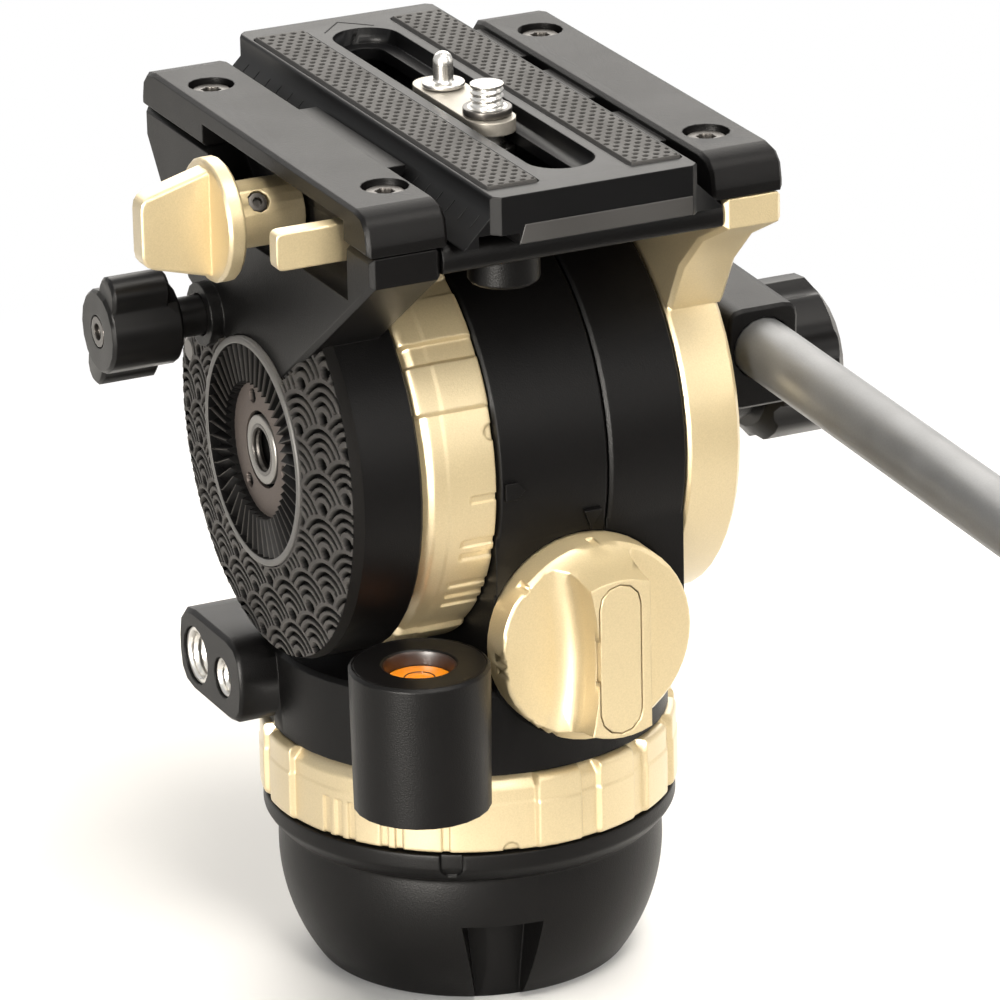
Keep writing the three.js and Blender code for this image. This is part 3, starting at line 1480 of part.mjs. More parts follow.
function rosetteLikeDisc() {
  return revolveX([
    [0, clamp_disc_left_x], [clamp_disc_radius - body_edge, clamp_disc_left_x],
    [clamp_disc_radius, clamp_disc_left_x + body_edge],
    [clamp_disc_radius, clamp_disc_left_x + clamp_disc_thickness - body_edge],
    [clamp_disc_radius - body_edge, clamp_disc_left_x + clamp_disc_thickness],
    [0, clamp_disc_left_x + clamp_disc_thickness],
  ], ring_facets / 2);
}

function handleTube() {
  const profile = tubeProfile(tube_radius - tube_wall, tube_radius, -tube_front_y, -tube_rear_y);
  const body = moved(revolveY(profile, shaft_facets), socket_x, 0, socket_height);
  return mesh('handle_tube', body, black_anodised());
}

function handleGrip() {
  const front = -grip_front_y;
  const rear = -grip_rear_y;
  const bore = tube_radius + seat_gap;
  const length = rear - front;
  const profile = [
    [bore, front], [grip_waist_radius - body_edge, front], [grip_waist_radius, front + body_edge],
    [grip_radius, front + length * 0.18], [grip_waist_radius, front + length * 0.5],
    [grip_radius, front + length * 0.85], [grip_radius * 0.96, rear], [bore, rear],
  ];
  return mesh('handle_grip', moved(revolveY(profile, shaft_facets), socket_x, 0, socket_height), rubber());
}

function handleEndCap() {
  const front = -grip_rear_y + seat_gap;
  const plug = -tube_rear_y - end_cap_plug_length;
  const rear = front + end_cap_length;
  const profile = [
    [0, plug], [end_cap_plug_radius, plug], [end_cap_plug_radius, front], [grip_radius * 0.96, front],
    [grip_radius * 0.94, rear - end_cap_length * 0.4], [grip_radius * 0.75, rear - end_cap_length * 0.1],
    [grip_radius * 0.5, rear], [0, rear],
  ];
  return mesh('handle_end_cap', moved(revolveY(profile, shaft_facets), socket_x, 0, socket_height), black_paint());
}

function handleBolt() {
  const profile = rod(handle_bolt_radius, handle_bolt_left_x, handle_knob_right_x - end_cap_length);
  return mesh('handle_bolt', revolveX(profile, shaft_facets), steel());
}

function handleKnob() {
  const body = revolveX([
    [0, handle_knob_left_x], [handle_knob_radius * 0.8, handle_knob_left_x],
    [handle_knob_radius, handle_knob_left_x + body_edge * 4], [handle_knob_radius, handle_knob_right_x - body_edge * 4],
    [handle_knob_radius * 0.8, handle_knob_right_x], [0, handle_knob_right_x],
  ], ring_facets / 2);
  const cutters = [boreX(handle_bolt_radius + seat_gap, handle_knob_left_x - cut_extra,
    handle_knob_right_x - end_cap_length + seat_gap, 0, 0)];
  const circle_radius = handle_knob_radius + handle_knob_flute_radius * 0.62;
  for (let i = 0; i < handle_knob_flutes; i += 1) {
    const angle = 2 * Math.PI * i / handle_knob_flutes;
    const flute = revolveX(rod(handle_knob_flute_radius, handle_knob_left_x - cut_extra,
      handle_knob_right_x + cut_extra), corner_facets * 4);
    cutters.push(moved(flute, 0, circle_radius * Math.cos(angle), circle_radius * Math.sin(angle)));
  }
  return mesh('handle_knob', cut(body, cutters), black_paint());
}

// Assembly

function base() {
  const group = new THREE.Group();
  group.add(bowl(), bowlInsert(), panSpindle(), panDragPack());
  return group;
}

function panBody() {
  const group = new THREE.Group();
  group.add(bodyCasting(), sideCover(), levelCap(), levelVial(), panBearing());
  group.add(accessoryInsert('accessory_insert_large', large_insert_y, large_thread_radius, large_insert_radius));
  group.add(accessoryInsert('accessory_insert_small', small_insert_y, small_thread_radius, small_insert_radius));
  group.add(tiltBearing('tilt_bearing_left', barrel_left_x));
  group.add(tiltBearing('tilt_bearing_right', barrel_right_x - barrel_wall));
  group.add(counterbalanceSpring(), tiltDragPack(), counterbalanceKnob(), knobCover(), knobSpindle());
  group.add(panLockKnob());
  return group;
}

function platePieces() {
  const group = new THREE.Group();
  group.add(quickReleasePlate(), rubberStrip('rubber_strip_left', -1), rubberStrip('rubber_strip_right', 1));
  group.add(screwCarrier(), cameraScrew(), videoPin());
  return group;
}

function handle() {
  const group = new THREE.Group();
  group.rotation.x = radians(handle_slope_deg);
  group.add(handleClamp(), handleBolt(), handleKnob(), handleTube(), handleGrip(), handleEndCap());
  return group;
}

function tiltPlatform() {
  const group = new THREE.Group();
  group.position.z = tilt_axis_z;
  group.add(tiltDragRing(), leftArm(), waveDisc(), leftRosette());
  group.add(rosetteInsert('left_rosette_insert', -1, drum_left_x));
  group.add(rightArm(), rightRosette(), rosetteInsert('right_rosette_insert', 1, right_rosette_x - seat_gap));
  group.add(tiltShaft(), floorPlate(), catchHousing(), catchPin(), catchSpring());
  group.add(leftCap(), rightCap(), clampShoe(), armSideScrew());
  cap_screw_places.forEach((place, i) => group.add(capScrew(i)));
  group.add(plateLockKnob(), lockKnobSetScrew(), plateReleaseLever(), tiltLockKnob(), tiltLockScrew());
  group.add(platePieces(), handle());
  return group;
}

const fluid_video_head = new THREE.Group();
fluid_video_head.name = 'fluid_video_head';
fluid_video_head.add(base(), panDragRing(), panBody(), tiltPlatform());

export default fluid_video_head;
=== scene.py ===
"""Surfaces, finishes, light and camera of a half-ball fluid video head, laid out as an add-on."""

import bmesh
import bpy
import numpy as np
from bpy.props import FloatProperty, IntProperty, PointerProperty, StringProperty
from mathutils import Matrix, Vector


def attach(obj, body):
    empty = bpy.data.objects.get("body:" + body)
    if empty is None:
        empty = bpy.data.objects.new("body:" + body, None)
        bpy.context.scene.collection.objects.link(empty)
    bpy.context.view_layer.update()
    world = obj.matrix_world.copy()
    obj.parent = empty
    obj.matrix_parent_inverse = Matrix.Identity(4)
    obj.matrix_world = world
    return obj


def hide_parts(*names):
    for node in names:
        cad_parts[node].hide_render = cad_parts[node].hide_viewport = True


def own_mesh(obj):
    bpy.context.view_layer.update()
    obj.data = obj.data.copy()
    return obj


bl_info = {
    "name": "Fluid video head",
    "version": (1, 0, 0),
    "blender": (4, 5, 0),
    "location": "3D View > Sidebar > Video Head",
    "description": "Builds the looks of a half-ball fluid video head round its packed frame",
    "category": "Object",
}

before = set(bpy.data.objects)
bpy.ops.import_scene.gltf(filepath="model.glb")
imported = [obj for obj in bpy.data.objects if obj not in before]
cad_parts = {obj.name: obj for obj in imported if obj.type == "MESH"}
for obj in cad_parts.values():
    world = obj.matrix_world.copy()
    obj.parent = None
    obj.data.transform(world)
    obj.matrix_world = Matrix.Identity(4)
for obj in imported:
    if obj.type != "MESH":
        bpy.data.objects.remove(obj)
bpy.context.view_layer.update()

MM = 0.001
TAU = 2 * np.pi
# Edges shorter than this, in metres, are no edges.
SLIVER = 0.001 * MM
ORIGIN = (0, 0, 0)
# Sizes from here on are in mm, with heights from the foot. The tilt axis runs along X.
FOOT_RADIUS, BALL_RADIUS, BALL_CENTRE = 28.3, 37.5, 23
LIP_RADIUS, BOWL_TOP = 40.2, 38.3
NOTCH_TOP = 18.5
RING_RADIUS, PAD_RADIUS, RING_BORE, RING_WIDTH = 39.6, 40.7, 33.0, 15.0
BARREL_RADIUS = 40.2
TILT_AXIS = 109.5
HUB = (0, 0, TILT_AXIS)
PLATE_TOP, CAP_TOP = TILT_AXIS + 64.5, TILT_AXIS + 62.5
PLATE_HALF, PLATE_WAIST, PLATE_REAR = 20.9, 169.8, -61.5
# Directions in degrees round Z, from the operator's side towards the head's right.
NOTCH_AT, INDEX_AT = -15.5, -30.1
# How far the pads of the tilt ring are turned against those of the pan ring, in degrees.
RING_TURN = 119.0
# Where one fan of the relief has its centre, as y and height from the tilt axis.
FAN_START = (11.4, 1.8)
# The grooves of a fan, as shares of its radius.
GROOVES = (0.835, 0.625, 0.41)
LINE_WIDTH = 0.35


def linear(code):
    """sRGB hex to linear red, green and blue."""
    c = np.array([int(code[i : i + 2], 16) for i in (1, 3, 5)]) / 255
    return tuple(float(v) for v in np.where(c <= 0.04045, c / 12.92, ((c + 0.055) / 1.055) ** 2.4))


def smooth(x, a, b):
    """0 below a, 1 above b, and 3t^2 - 2t^3 between them."""
    t = np.clip((x - a) / (b - a), 0, 1)
    return t * t * (3 - 2 * t)


# Meshes


def sheet_mesh(name, points, wrap_u=True, wrap_v=False):
    """Quads over a grid of points in mm; a wrapped side joins its last row to its first."""
    nu, nv = points.shape[:2]
    index = np.arange(nu * nv).reshape(nu, nv)
    if wrap_u:
        index = np.vstack([index, index[:1]])
    if wrap_v:
        index = np.hstack([index, index[:, :1]])
    quads = np.stack([index[:-1, :-1], index[1:, :-1], index[1:, 1:], index[:-1, 1:]], -1).reshape(-1, 4)
    mesh = bpy.data.meshes.new(name)
    mesh.vertices.add(nu * nv)
    mesh.vertices.foreach_set("co", (points.reshape(-1) * MM).astype(np.float32))
    mesh.loops.add(quads.size)
    mesh.loops.foreach_set("vertex_index", quads.reshape(-1).astype(np.int32))
    mesh.polygons.add(len(quads))
    mesh.polygons.foreach_set("loop_start", np.arange(0, quads.size, 4, dtype=np.int32))
    mesh.update(calc_edges=True)
    return mesh


def shaded(mesh, values):
    """Stores one number for each grid point as the mesh attribute of relief, by which a finish paints
    shade and highlights into its colour.
    """
    shade = mesh.attributes.new("relief", "FLOAT", "POINT")
    shade.data.foreach_set("value", values.reshape(-1).astype(np.float32))


def clean(mesh):
    """Joins doubled points, closes open ends and points every face outwards."""
    work = bmesh.new()
    work.from_mesh(mesh)
    bmesh.ops.remove_doubles(work, verts=work.verts, dist=2 * SLIVER)
    bmesh.ops.dissolve_degenerate(work, edges=work.edges, dist=SLIVER)
    bmesh.ops.holes_fill(work, edges=[e for e in work.edges if e.is_boundary], sides=0)
    bmesh.ops.recalc_face_normals(work, faces=work.faces)
    work.to_mesh(mesh)
    work.free()
    return mesh


def piece(name, mesh, material, body, replaced=(), sharp=40.0):
    """An object at the origin that rides on a body, shaded smooth below the sharp angle."""
    mesh.shade_smooth()
    mesh.set_sharp_from_angle(angle=np.radians(sharp))
    mesh.materials.clear()
    mesh.materials.append(bpy.data.materials[material])
    made = bpy.data.objects.new(name, mesh)
    bpy.context.scene.collection.objects.link(made)
    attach(made, body)
    if replaced:
        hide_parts(*replaced)
    return made


def eased(profile, radius):
    """A closed profile whose corners are replaced by quadratic curves of about that radius."""
    p = np.array(profile, float)
    before, after = np.roll(p, 1, 0) - p, np.roll(p, -1, 0) - p
    lb, la = np.linalg.norm(before, axis=1), np.linalg.norm(after, axis=1)
    cut = np.minimum(radius, 0.45 * np.minimum(lb, la))[:, None]
    start, end = p + before / lb[:, None] * cut, p + after / la[:, None] * cut
    t = np.linspace(0, 1, 4)[None, :, None]
    curve = (1 - t) ** 2 * start[:, None] + 2 * t * (1 - t) * p[:, None] + t**2 * end[:, None]
    return curve.reshape(-1, 2)


def along(profile, step):
    """A closed profile with points added so that no stretch is longer than step."""
    p = np.vstack([profile, profile[:1]])
    out = []
    for a, b in zip(p[:-1], p[1:]):
        n = max(1, int(np.ceil(np.linalg.norm(b - a) / step)))
        out.append(a + (b - a) * np.linspace(0, 1, n, endpoint=False)[:, None])
    return np.vstack(out)


AXES = {
    "z": lambda r, h, a: (r * np.sin(a), -r * np.cos(a), h),
    "x": lambda r, h, a: (h, r * np.cos(a), r * np.sin(a)),
}


def placed(r, h, a, axis, centre):
    """Radius, height and angle round the axis z or x, turned to x, y, z and moved to a centre."""
    r, h, a = np.broadcast_arrays(r, h, a)
    return np.stack(AXES[axis](r, h, a), -1) + np.array(centre, float)


def lathed(name, r, h, a, axis, centre, material, body, replaced=(), sharp=40.0, shade=None):
    """A piece from closed loops of radius and height at each angle round an axis."""
    mesh = sheet_mesh(name, placed(r, h, a, axis, centre), wrap_v=True)
    if shade is not None:
        shaded(mesh, shade)
    piece(name, clean(mesh), material, body, replaced, sharp)


def turned(name, profile, axis, centre, material, body, replaced=(), facets=96, ease=0.3):
    """A closed profile of (radius, height) carried round an axis, with eased corners."""
    r, h = eased(profile, ease).T[:, None]
    a = np.arange(facets)[:, None] * TAU / facets
    lathed(name, np.maximum(r, 0), h, a, axis, centre, material, body, replaced)


def pipe(inner, outer, low, high):
    """The profile of a tube between two heights."""
    return [(inner, low), (outer, low), (outer, high), (inner, high)]


def rod(radius, low, high):
    """The profile of a solid rod between two heights."""
    return pipe(0, radius, low, high)


def slabs(name, outlines, lay, material, body, lift=0.05):
    """Flat shapes that stand up a little from a surface; lay turns u, v and height to x, y, z."""
    points, faces, first = [], [], 0
    for outline in outlines:
        u, v = np.array(outline, float).T
        n = len(u)
        for height in (-0.3, lift):
            points.append(np.stack(np.broadcast_arrays(*lay(u, v, height)), -1))
        low = first + np.arange(n)
        after = np.roll(low, -1)
        faces += [low.tolist(), (low + n).tolist()]
        faces += np.stack([low, after, after + n, low + n], -1).tolist()
        first += 2 * n
    mesh = bpy.data.meshes.new(name)
    mesh.from_pydata((np.vstack(points) * MM).tolist(), [], faces)
    piece(name, clean(mesh), material, body, (), 20)


def line(a, b, width):
    """The four corners of a straight line of a width between two points."""
    a, b = np.array(a, float), np.array(b, float)
    side = np.array([a[1] - b[1], b[0] - a[0]]) / np.hypot(*(b - a)) * width / 2
    return [a + side, a - side, b - side, b + side]


def dressed(node, material, body):
    """A merged copy of a CAD node with weighted normals, so that its curves shade as curves."""
    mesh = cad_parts[node].data.copy()
    work = bmesh.new()
    work.from_mesh(mesh)
    bmesh.ops.remove_doubles(work, verts=work.verts, dist=SLIVER)
    bmesh.ops.dissolve_limit(work, angle_limit=np.radians(0.5), verts=work.verts, edges=work.edges)
    work.to_mesh(mesh)
    work.free()
    made = piece(node + ".shell", mesh, material, body, (node,), 32)
    weighted = made.modifiers.new("Weighted", "WEIGHTED_NORMAL")
    weighted.keep_sharp = True
    weighted.weight = 100
    return made


# Finishes


def add(tree, kind, settings=None, links=None):
    """One node with its settings, and its inputs fed from other sockets."""
    node = tree.nodes.new(kind)
    for key, value in (settings or {}).items():
        if isinstance(key, int) or key in node.inputs:
            node.inputs[key].default_value = value
        else:
            setattr(node, key, value)
    for key, socket in (links or {}).items():
        tree.links.new(socket, node.inputs[key])
    return node


# Sockets of the Mix node for colours: the inputs factor, first and second, and the output.
FACTOR, FIRST, SECOND, MIXED = 0, 6, 7, 2
# How far the fine grain makes a colour darker and lighter.
TINT = 0.14


def finish(
    name, color, roughness, metallic=0.0, grain=0.3, bump=0.05, spread=0.1, edge=0.35, under="", **shader
):
    """A surface with fine grain of a size in mm, gloss that varies by spread, and edges rounded by a
    radius in mm. A colour named under shows where the mesh attribute of relief is 0; it paints
    shade into hollows, while the finish's own colour paints highlights on crests."""
    material = bpy.data.materials.new(name)
    material.use_nodes = True
    tree = material.node_tree
    tree.nodes.clear()
    out = add(tree, "ShaderNodeOutputMaterial")
    where = add(tree, "ShaderNodeTexCoord").outputs["Object"]
    fine = add(tree, "ShaderNodeTexNoise", {"Scale": 1 / (grain * MM), "Detail": 3.0}, {"Vector": where})
    # Patches about a centimetre across that vary the gloss.
    broad = add(tree, "ShaderNodeTexNoise", {"Scale": 90.0, "Detail": 2.0}, {"Vector": where})
    limits = {"From Min": 0.3, "From Max": 0.7}
    limits |= {"To Min": roughness - spread / 2, "To Max": roughness + spread / 2}
    gloss = add(tree, "ShaderNodeMapRange", limits, {"Value": broad.outputs["Fac"]})
    rgb = np.array(linear(color))
    ends = {FIRST: (*(rgb * (1 - TINT)), 1), SECOND: (*np.minimum(rgb * (1 + TINT), 1), 1)}
    links = {FACTOR: fine.outputs["Fac"]}
    colour = add(tree, "ShaderNodeMix", {"data_type": "RGBA", **ends}, links).outputs[MIXED]
    if under:
        height = add(tree, "ShaderNodeAttribute", {"attribute_name": "relief"})
        ends = {FIRST: (*linear(under), 1)}
        links = {FACTOR: height.outputs["Fac"], SECOND: colour}
        colour = add(tree, "ShaderNodeMix", {"data_type": "RGBA", **ends}, links).outputs[MIXED]
    rounded = add(tree, "ShaderNodeBevel", {"samples": 4, "Radius": edge * MM})
    links = {"Height": fine.outputs["Fac"], "Normal": rounded.outputs["Normal"]}
    relief = add(tree, "ShaderNodeBump", {"Strength": 1.0, "Distance": bump * MM}, links)
    links = {"Base Color": colour, "Normal": relief.outputs["Normal"]}
    links["Roughness"] = gloss.outputs["Result"]
    surface = add(tree, "ShaderNodeBsdfPrincipled", {"Metallic": metallic, **shader}, links)
    tree.links.new(surface.outputs["BSDF"], out.inputs["Surface"])


def finishes(gold):
    """Each finish of the head, from how the real surface is made, with shade, highlights or glow painted
    into some.
    """
    # Powder coat on cast aluminium: even satin black with a fine grain that breaks up highlights.
    look = {"spread": 0.03, "edge": 0.4, "Specular IOR Level": 0.11}
    finish("black_powder_coat", "#090808", 0.41, grain=0.3, bump=0.05, **look)
    # Knobs of moulded nylon, smoother than the coat.
    finish("moulded_black_nylon", "#0b0a0a", 0.36, grain=0.5, bump=0.015, **{"Specular IOR Level": 0.16})
    # Hard anodised plate: a fine grain with a tight gloss.
    look = {"spread": 0.03, "Specular IOR Level": 0.12}
    finish("black_anodised_aluminium", "#0c0c0d", 0.38, grain=0.2, bump=0.014, **look)
    # Metallic paint over a fine blasted surface: pale gold that goes brown in shade.
    look = {"spread": 0.04, "edge": 0.5, "Coat Weight": 0.5, "Coat Roughness": 0.33}
    finish("pale_gold_paint", gold, 0.4, metallic=0.3, grain=0.3, bump=0.03, **look)
    # The dull disc inside the rosette teeth; its pin holes get painted shade of black.
    look = {"under": "#000000", "edge": 0.05, "Specular IOR Level": 0.05}
    finish("sintered_hub_metal", "#7f756f", 0.5, metallic=0.1, grain=0.3, bump=0.02, **look)
    # Teeth: hard anodised dark grey, with a painted highlight of lighter grey along the crests.
    look = {"under": "#171616", "edge": 0.06, "Specular IOR Level": 0.05}
    finish("toothed_anodised_metal", "#716d69", 0.5, grain=0.2, bump=0.02, **look)
    finish("rubbed_rim_metal", "#62605d", 0.55, metallic=0.1, grain=0.2, bump=0.02)
    # Relief disc: moulded grey nylon, with painted shade that turns the grooves near black.
    look = {"under": "#020202", "edge": 0.1, "Specular IOR Level": 0.02}
    finish("relief_grey_nylon", "#74716e", 0.55, grain=0.25, bump=0.02, **look)
    # Bare metals.
    finish("turned_steel", "#b9b7b3", 0.28, metallic=1.0, grain=0.6, bump=0.004, spread=0.12)
    finish("blasted_aluminium", "#9a958c", 0.45, metallic=0.7, grain=0.25, bump=0.01)
    finish("ground_steel", "#6f6d6a", 0.38, metallic=1.0, grain=0.5, bump=0.004)
    finish("dark_steel", "#4a4744", 0.34, metallic=0.8, grain=0.4, bump=0.006)
    finish("grey_anodised_tube", "#6a6b6c", 0.5, metallic=0.6, grain=0.4, bump=0.006)
    # Rubber and plastics.
    # The strips' pits and edges get painted shade of near black.
    look = {"under": "#030303", "Specular IOR Level": 0.25}
    finish("grey_rubber", "#2e2c2a", 0.6, grain=0.3, bump=0.03, **look)
    finish("grip_rubber", "#242322", 0.7, grain=0.5, bump=0.05)
    finish("black_acrylic", "#0b0a0a", 0.2, grain=0.6, bump=0.0)
    finish("brown_shade_plastic", "#2a1608", 0.4, grain=0.6, bump=0.0)
    # The fluid gets a painted glow by emission, standing in for light that passes through it.
    look = {"Coat Weight": 0.6, "Emission Color": (*linear("#f08c0a"), 1), "Emission Strength": 0.12}
    finish("amber_fluid", "#f08c0a", 0.06, grain=2.0, bump=0.0, edge=0.1, **look)
    finish("pressed_friction_lining", "#6d5f4a", 0.75, grain=0.4, bump=0.05)
    # Printed marks, and a strip of the plate worn paler than the rest.
    finish("mark_black", "#020202", 0.6, grain=0.4, bump=0.0, **{"Specular IOR Level": 0.1})
    finish("rubbed_anodising", "#2b2927", 0.5, grain=0.25, bump=0.01)


# Forms


def flanked(a, before, grid, after):
    """A grid over the angles a, with columns of one value each put before and after it."""
    fill = np.ones_like(a)
    before, after = [fill * value for value in before], [fill * value for value in after]
    return np.hstack([*before, grid + 0 * a, *after])


def apart(turn, at):
    """Degrees from one direction to another, the short way round."""
    return (turn - at + 180) % 360 - 180


def rounding(near, radius):
    """How far a rounded edge falls back at a distance from its side."""
    return radius * (1 - np.sqrt(np.clip(1 - (1 - np.minimum(near, radius) / radius) ** 2, 0, 1)))


def ring_surface(mark_depth):
    """Closed loops of a drag ring over angle and width: a plain band with a chamfer, pads that rise
    with a smooth step on both sides, and marks cut into the plain part."""
    a = np.radians(np.arange(0, 360, 0.36))[:, None]
    turn = np.degrees(a)
    h = np.concatenate([[0, 0.12, 0.3], np.linspace(0.6, 14.4, 44), [14.7, 14.88, RING_WIDTH]])[None]
    # Past a shallow step the band and its pads are lower, and the last part is chamfered.
    past = smooth(h, 9.5, 9.9)
    base = RING_RADIUS - rounding(h, 0.35) - 0.16 * past - np.maximum(h - 12.6, 0) * 0.86
    pad = PAD_RADIUS - rounding(np.minimum(h, RING_WIDTH - h), 1.3) - 0.22 * past
    rise = np.max([1 - smooth(np.abs(apart(turn, 0.7 + i * 19.3)), 6.2, 7.2) for i in range(15)], 0)
    r = base + (pad - base) * rise
    # One, two and three short lines, each group round its middle and with its own reach.
    for middle, count, reach in ((-31.5, 1, 5.2), (-47.0, 2, 6.5), (-64.0, 3, 7.6)):
        for k in range(count):
            off = np.abs(apart(turn, middle + (k - (count - 1) / 2) * 4.4))
            r = r - mark_depth * (1 - smooth(off, 1.05, 1.3)) * (1 - smooth(h, reach, reach + 0.3))
    # A half-round hollow in the edge from which the lines start.
    across = np.radians(apart(turn, -13.4)) * RING_RADIUS
    r = r - mark_depth * (1 - smooth(np.hypot(across, h), 1.5, 1.7))
    return flanked(a, [RING_BORE], r, [RING_BORE]), flanked(a, [0], h, [RING_WIDTH]), a


def notched_ball(profile):
    """The ball's profile round Z with columns drawn to the sides of the notch, so that its walls are
    straight. Inside the notch the radius stops at the foot's, and the index mark sinks into the lip."""
    level = [[np.sqrt(BALL_RADIUS**2 - (NOTCH_TOP - BALL_CENTRE) ** 2), NOTCH_TOP]]
    first = int(np.argmax((profile[:, 1] > NOTCH_TOP) & (profile[:, 0] > 20)))
    p = np.vstack([profile[:first], level, level, profile[first:]])
    r, h = p[None, :, 0], p[None, :, 1]
    inside = (np.arange(len(p)) <= first)[None] & (r > FOOT_RADIUS)
    half_width = 4.3 + 3.7 * np.clip((h + 1) / (NOTCH_TOP + 1), 0, 1)
    half = np.arcsin(np.minimum(half_width / np.maximum(r, 9), 1))
    within = np.linspace(-1, 1, 40)[:, None] * half
    # The columns lie closer together on the side of the notch where the index mark is.
    share = np.unique(np.concatenate([np.linspace(0, 1, 240), np.linspace(0.975, 1, 70)]))[:, None]
    outside = half + share * (TAU - 2 * half)
    a = np.vstack([within, outside]) + np.radians(NOTCH_AT)
    radius = np.vstack([np.where(inside, FOOT_RADIUS, r) + 0 * within, r + 0 * outside])
    height = h + 0 * a
    # The mark is a slot with a round lower end.
    across = np.radians(apart(np.degrees(a), INDEX_AT)) * LIP_RADIUS
    off = np.hypot(across, np.minimum(height - 32.2, 0))
    mark = (1 - smooth(off, 2.0, 2.3)) * (radius > BALL_RADIUS) * (height > 26)
    return radius - 0.8 * mark, height, a


def rosette_surface(teeth, base, way):
    """Closed loops of a rosette along X over radius and angle: a flat hub, then ramps that repeat round
    the circle and deepen outwards, then a flat rim. The last grid is 1 on the crests, where a
    highlight is painted."""
    bore, hub, rim, outer = 7.3, 13.15, 20.65, 22.0
    a = np.radians(np.linspace(0, 360, teeth * 12, endpoint=False))[:, None]
    r = [[bore], np.linspace(7.6, 12.9, 5), np.linspace(13.2, 20.6, 22), [20.7, 20.8, 21.8, outer]]
    r = np.concatenate(r)[None]
    phase = (a * teeth / TAU) % 1
    # A tooth climbs over three quarters of its width and falls over the last.
    ramp = np.where(phase < 0.75, phase / 0.75, (1 - phase) / 0.25)
    # Crests get a painted highlight: the colour is a lighter grey there.
    crest_highlight = smooth(ramp, 0.88, 1.0) * (r > 13.3) * (r < rim)
    height = np.select([r < hub, r > 21.9, r > rim], [1.75, 4.6, 4.8], 4.5 - 2.1 * (1 - ramp) * r / 20)
    x = base + way * flanked(a, [0], height, [0])
    return flanked(a, [bore], r, [outer]), x, a, flanked(a, [0], crest_highlight, [0])


def scallop(y, z, radius, rise):
    """Overlapping fans in rows, each row half a fan on from the last. A point belongs to the lowest row
    that covers it, and its distance from that fan's centre gives three grooves and a hollow core."""
    share = np.zeros_like(y)
    free = np.ones(y.shape, bool)
    for row in range(-14, 16):
        centre_z = row * rise + FAN_START[1]
        shift = radius * (row % 2) + FAN_START[0]
        off = (y - shift + radius) % (2 * radius) - radius
        d = np.hypot(off, z - centre_z)
        inside = free & (d <= radius)
        share = np.where(inside, d / radius, share)
        free &= ~inside
    near = np.min([np.abs(share - groove) for groove in GROOVES], 0)
    return smooth(near, 0.04, 0.06) * smooth(share, 0.2, 0.225)


def thread(r0, h0, h1, pitch, depth):
    """Radius over height and angle: a triangle wave that climbs a pitch a turn, faded at both ends."""
    facets, per_turn = 48, 10
    a = np.arange(facets)[:, None] * TAU / facets
    h = np.arange(h0, h1, pitch / per_turn)[None]
    wave = np.abs(((h / pitch - a / TAU) % 1) - 0.5) * 2
    fade = smooth(h, h0, h0 + 0.5 * pitch) * (1 - smooth(h, h1 - 0.7 * pitch, h1))
    return r0 - depth * wave * fade, h, a


# Settings


class HeadSettings(bpy.types.PropertyGroup):
    """Sizes and colours a user would change."""

    mark_depth: FloatProperty(
        name="Mark depth", description="Depth of the setting marks", default=0.00045, unit="LENGTH"
    )
    rosette_teeth: IntProperty(name="Rosette teeth", description="Teeth round each rosette", default=48)
    fan_radius: FloatProperty(
        name="Fan radius", description="Radius of one fan of the relief", default=0.0082, unit="LENGTH"
    )
    fan_rise: FloatProperty(
        name="Fan rise", description="Height from row to row of fans", default=0.00444, unit="LENGTH"
    )
    relief_depth: FloatProperty(
        name="Relief depth", description="Depth of the relief grooves", default=0.0012, unit="LENGTH"
    )
    gold: StringProperty(name="Gold", description="The gold paint as sRGB hex", default="#c9b78f")
    key_power: FloatProperty(
        name="Key light", description="Power of the main soft light", default=14.0, unit="POWER"
    )


def settings():
    """The sizes and colours of the open scene."""
    return bpy.context.scene.video_head


# Operators


class HEAD_OT_finishes(bpy.types.Operator):
    """Makes every finish of the head"""

    bl_idname = "video_head.finishes"
    bl_label = "Finishes"

    def execute(self, context):
        finishes(settings().gold)
        return {"FINISHED"}


class HEAD_OT_bowl(bpy.types.Operator):
    """Makes the half ball, its notch and mark, and the insert in its foot"""

    bl_idname = "video_head.bowl"
    bl_label = "Half ball"

    def execute(self, context):
        ends = [(height - BALL_CENTRE) / BALL_RADIUS for height in (1, 28.2)]
        t = np.linspace(*np.arcsin(ends), 26)
        ball = np.stack([BALL_RADIUS * np.cos(t), BALL_CENTRE + BALL_RADIUS * np.sin(t)], 1)
        lip = [(38.3, 29.0), (39.6, 30.6), (LIP_RADIUS, 31.6), (LIP_RADIUS, 34.7), (32.4, 34.7)]
        bore = [(32.4, BOWL_TOP), (9.3, BOWL_TOP), (9.3, 14.3), (7.3, 14.3)]
        profile = np.vstack([[(7.3, 0), (FOOT_RADIUS, 0)], ball, lip, bore])
        r, h, a = notched_ball(along(eased(profile, 0.35), 0.8))
        lathed("bowl.shell", r, h, a, "z", ORIGIN, "black_powder_coat", "base", ("bowl",), 30)
        sleeve = pipe(4.1, 7.0, 0.0, 14.0)
        turned("bowl_insert.sleeve", sleeve, "z", ORIGIN, "turned_steel", "base", ("bowl_insert",))
        return {"FINISHED"}


class HEAD_OT_rings(bpy.types.Operator):
    """Makes the two drag rings with their pads and setting marks"""

    bl_idname = "video_head.rings"
    bl_label = "Drag rings"

    def execute(self, context):
        r, h, a = ring_surface(settings().mark_depth / MM)
        look = "pale_gold_paint"
        for node, height, turn, axis, centre, body in (
            ("pan_drag_ring", h + 35.1, a, "z", ORIGIN, "pan_ring"),
            ("tilt_drag_ring", -11.2 - h, -a - np.radians(RING_TURN + 90), "x", HUB, "tilt_ring"),
        ):
            lathed(node + ".band", r, height, turn, axis, centre, look, body, (node,), 35)
        return {"FINISHED"}


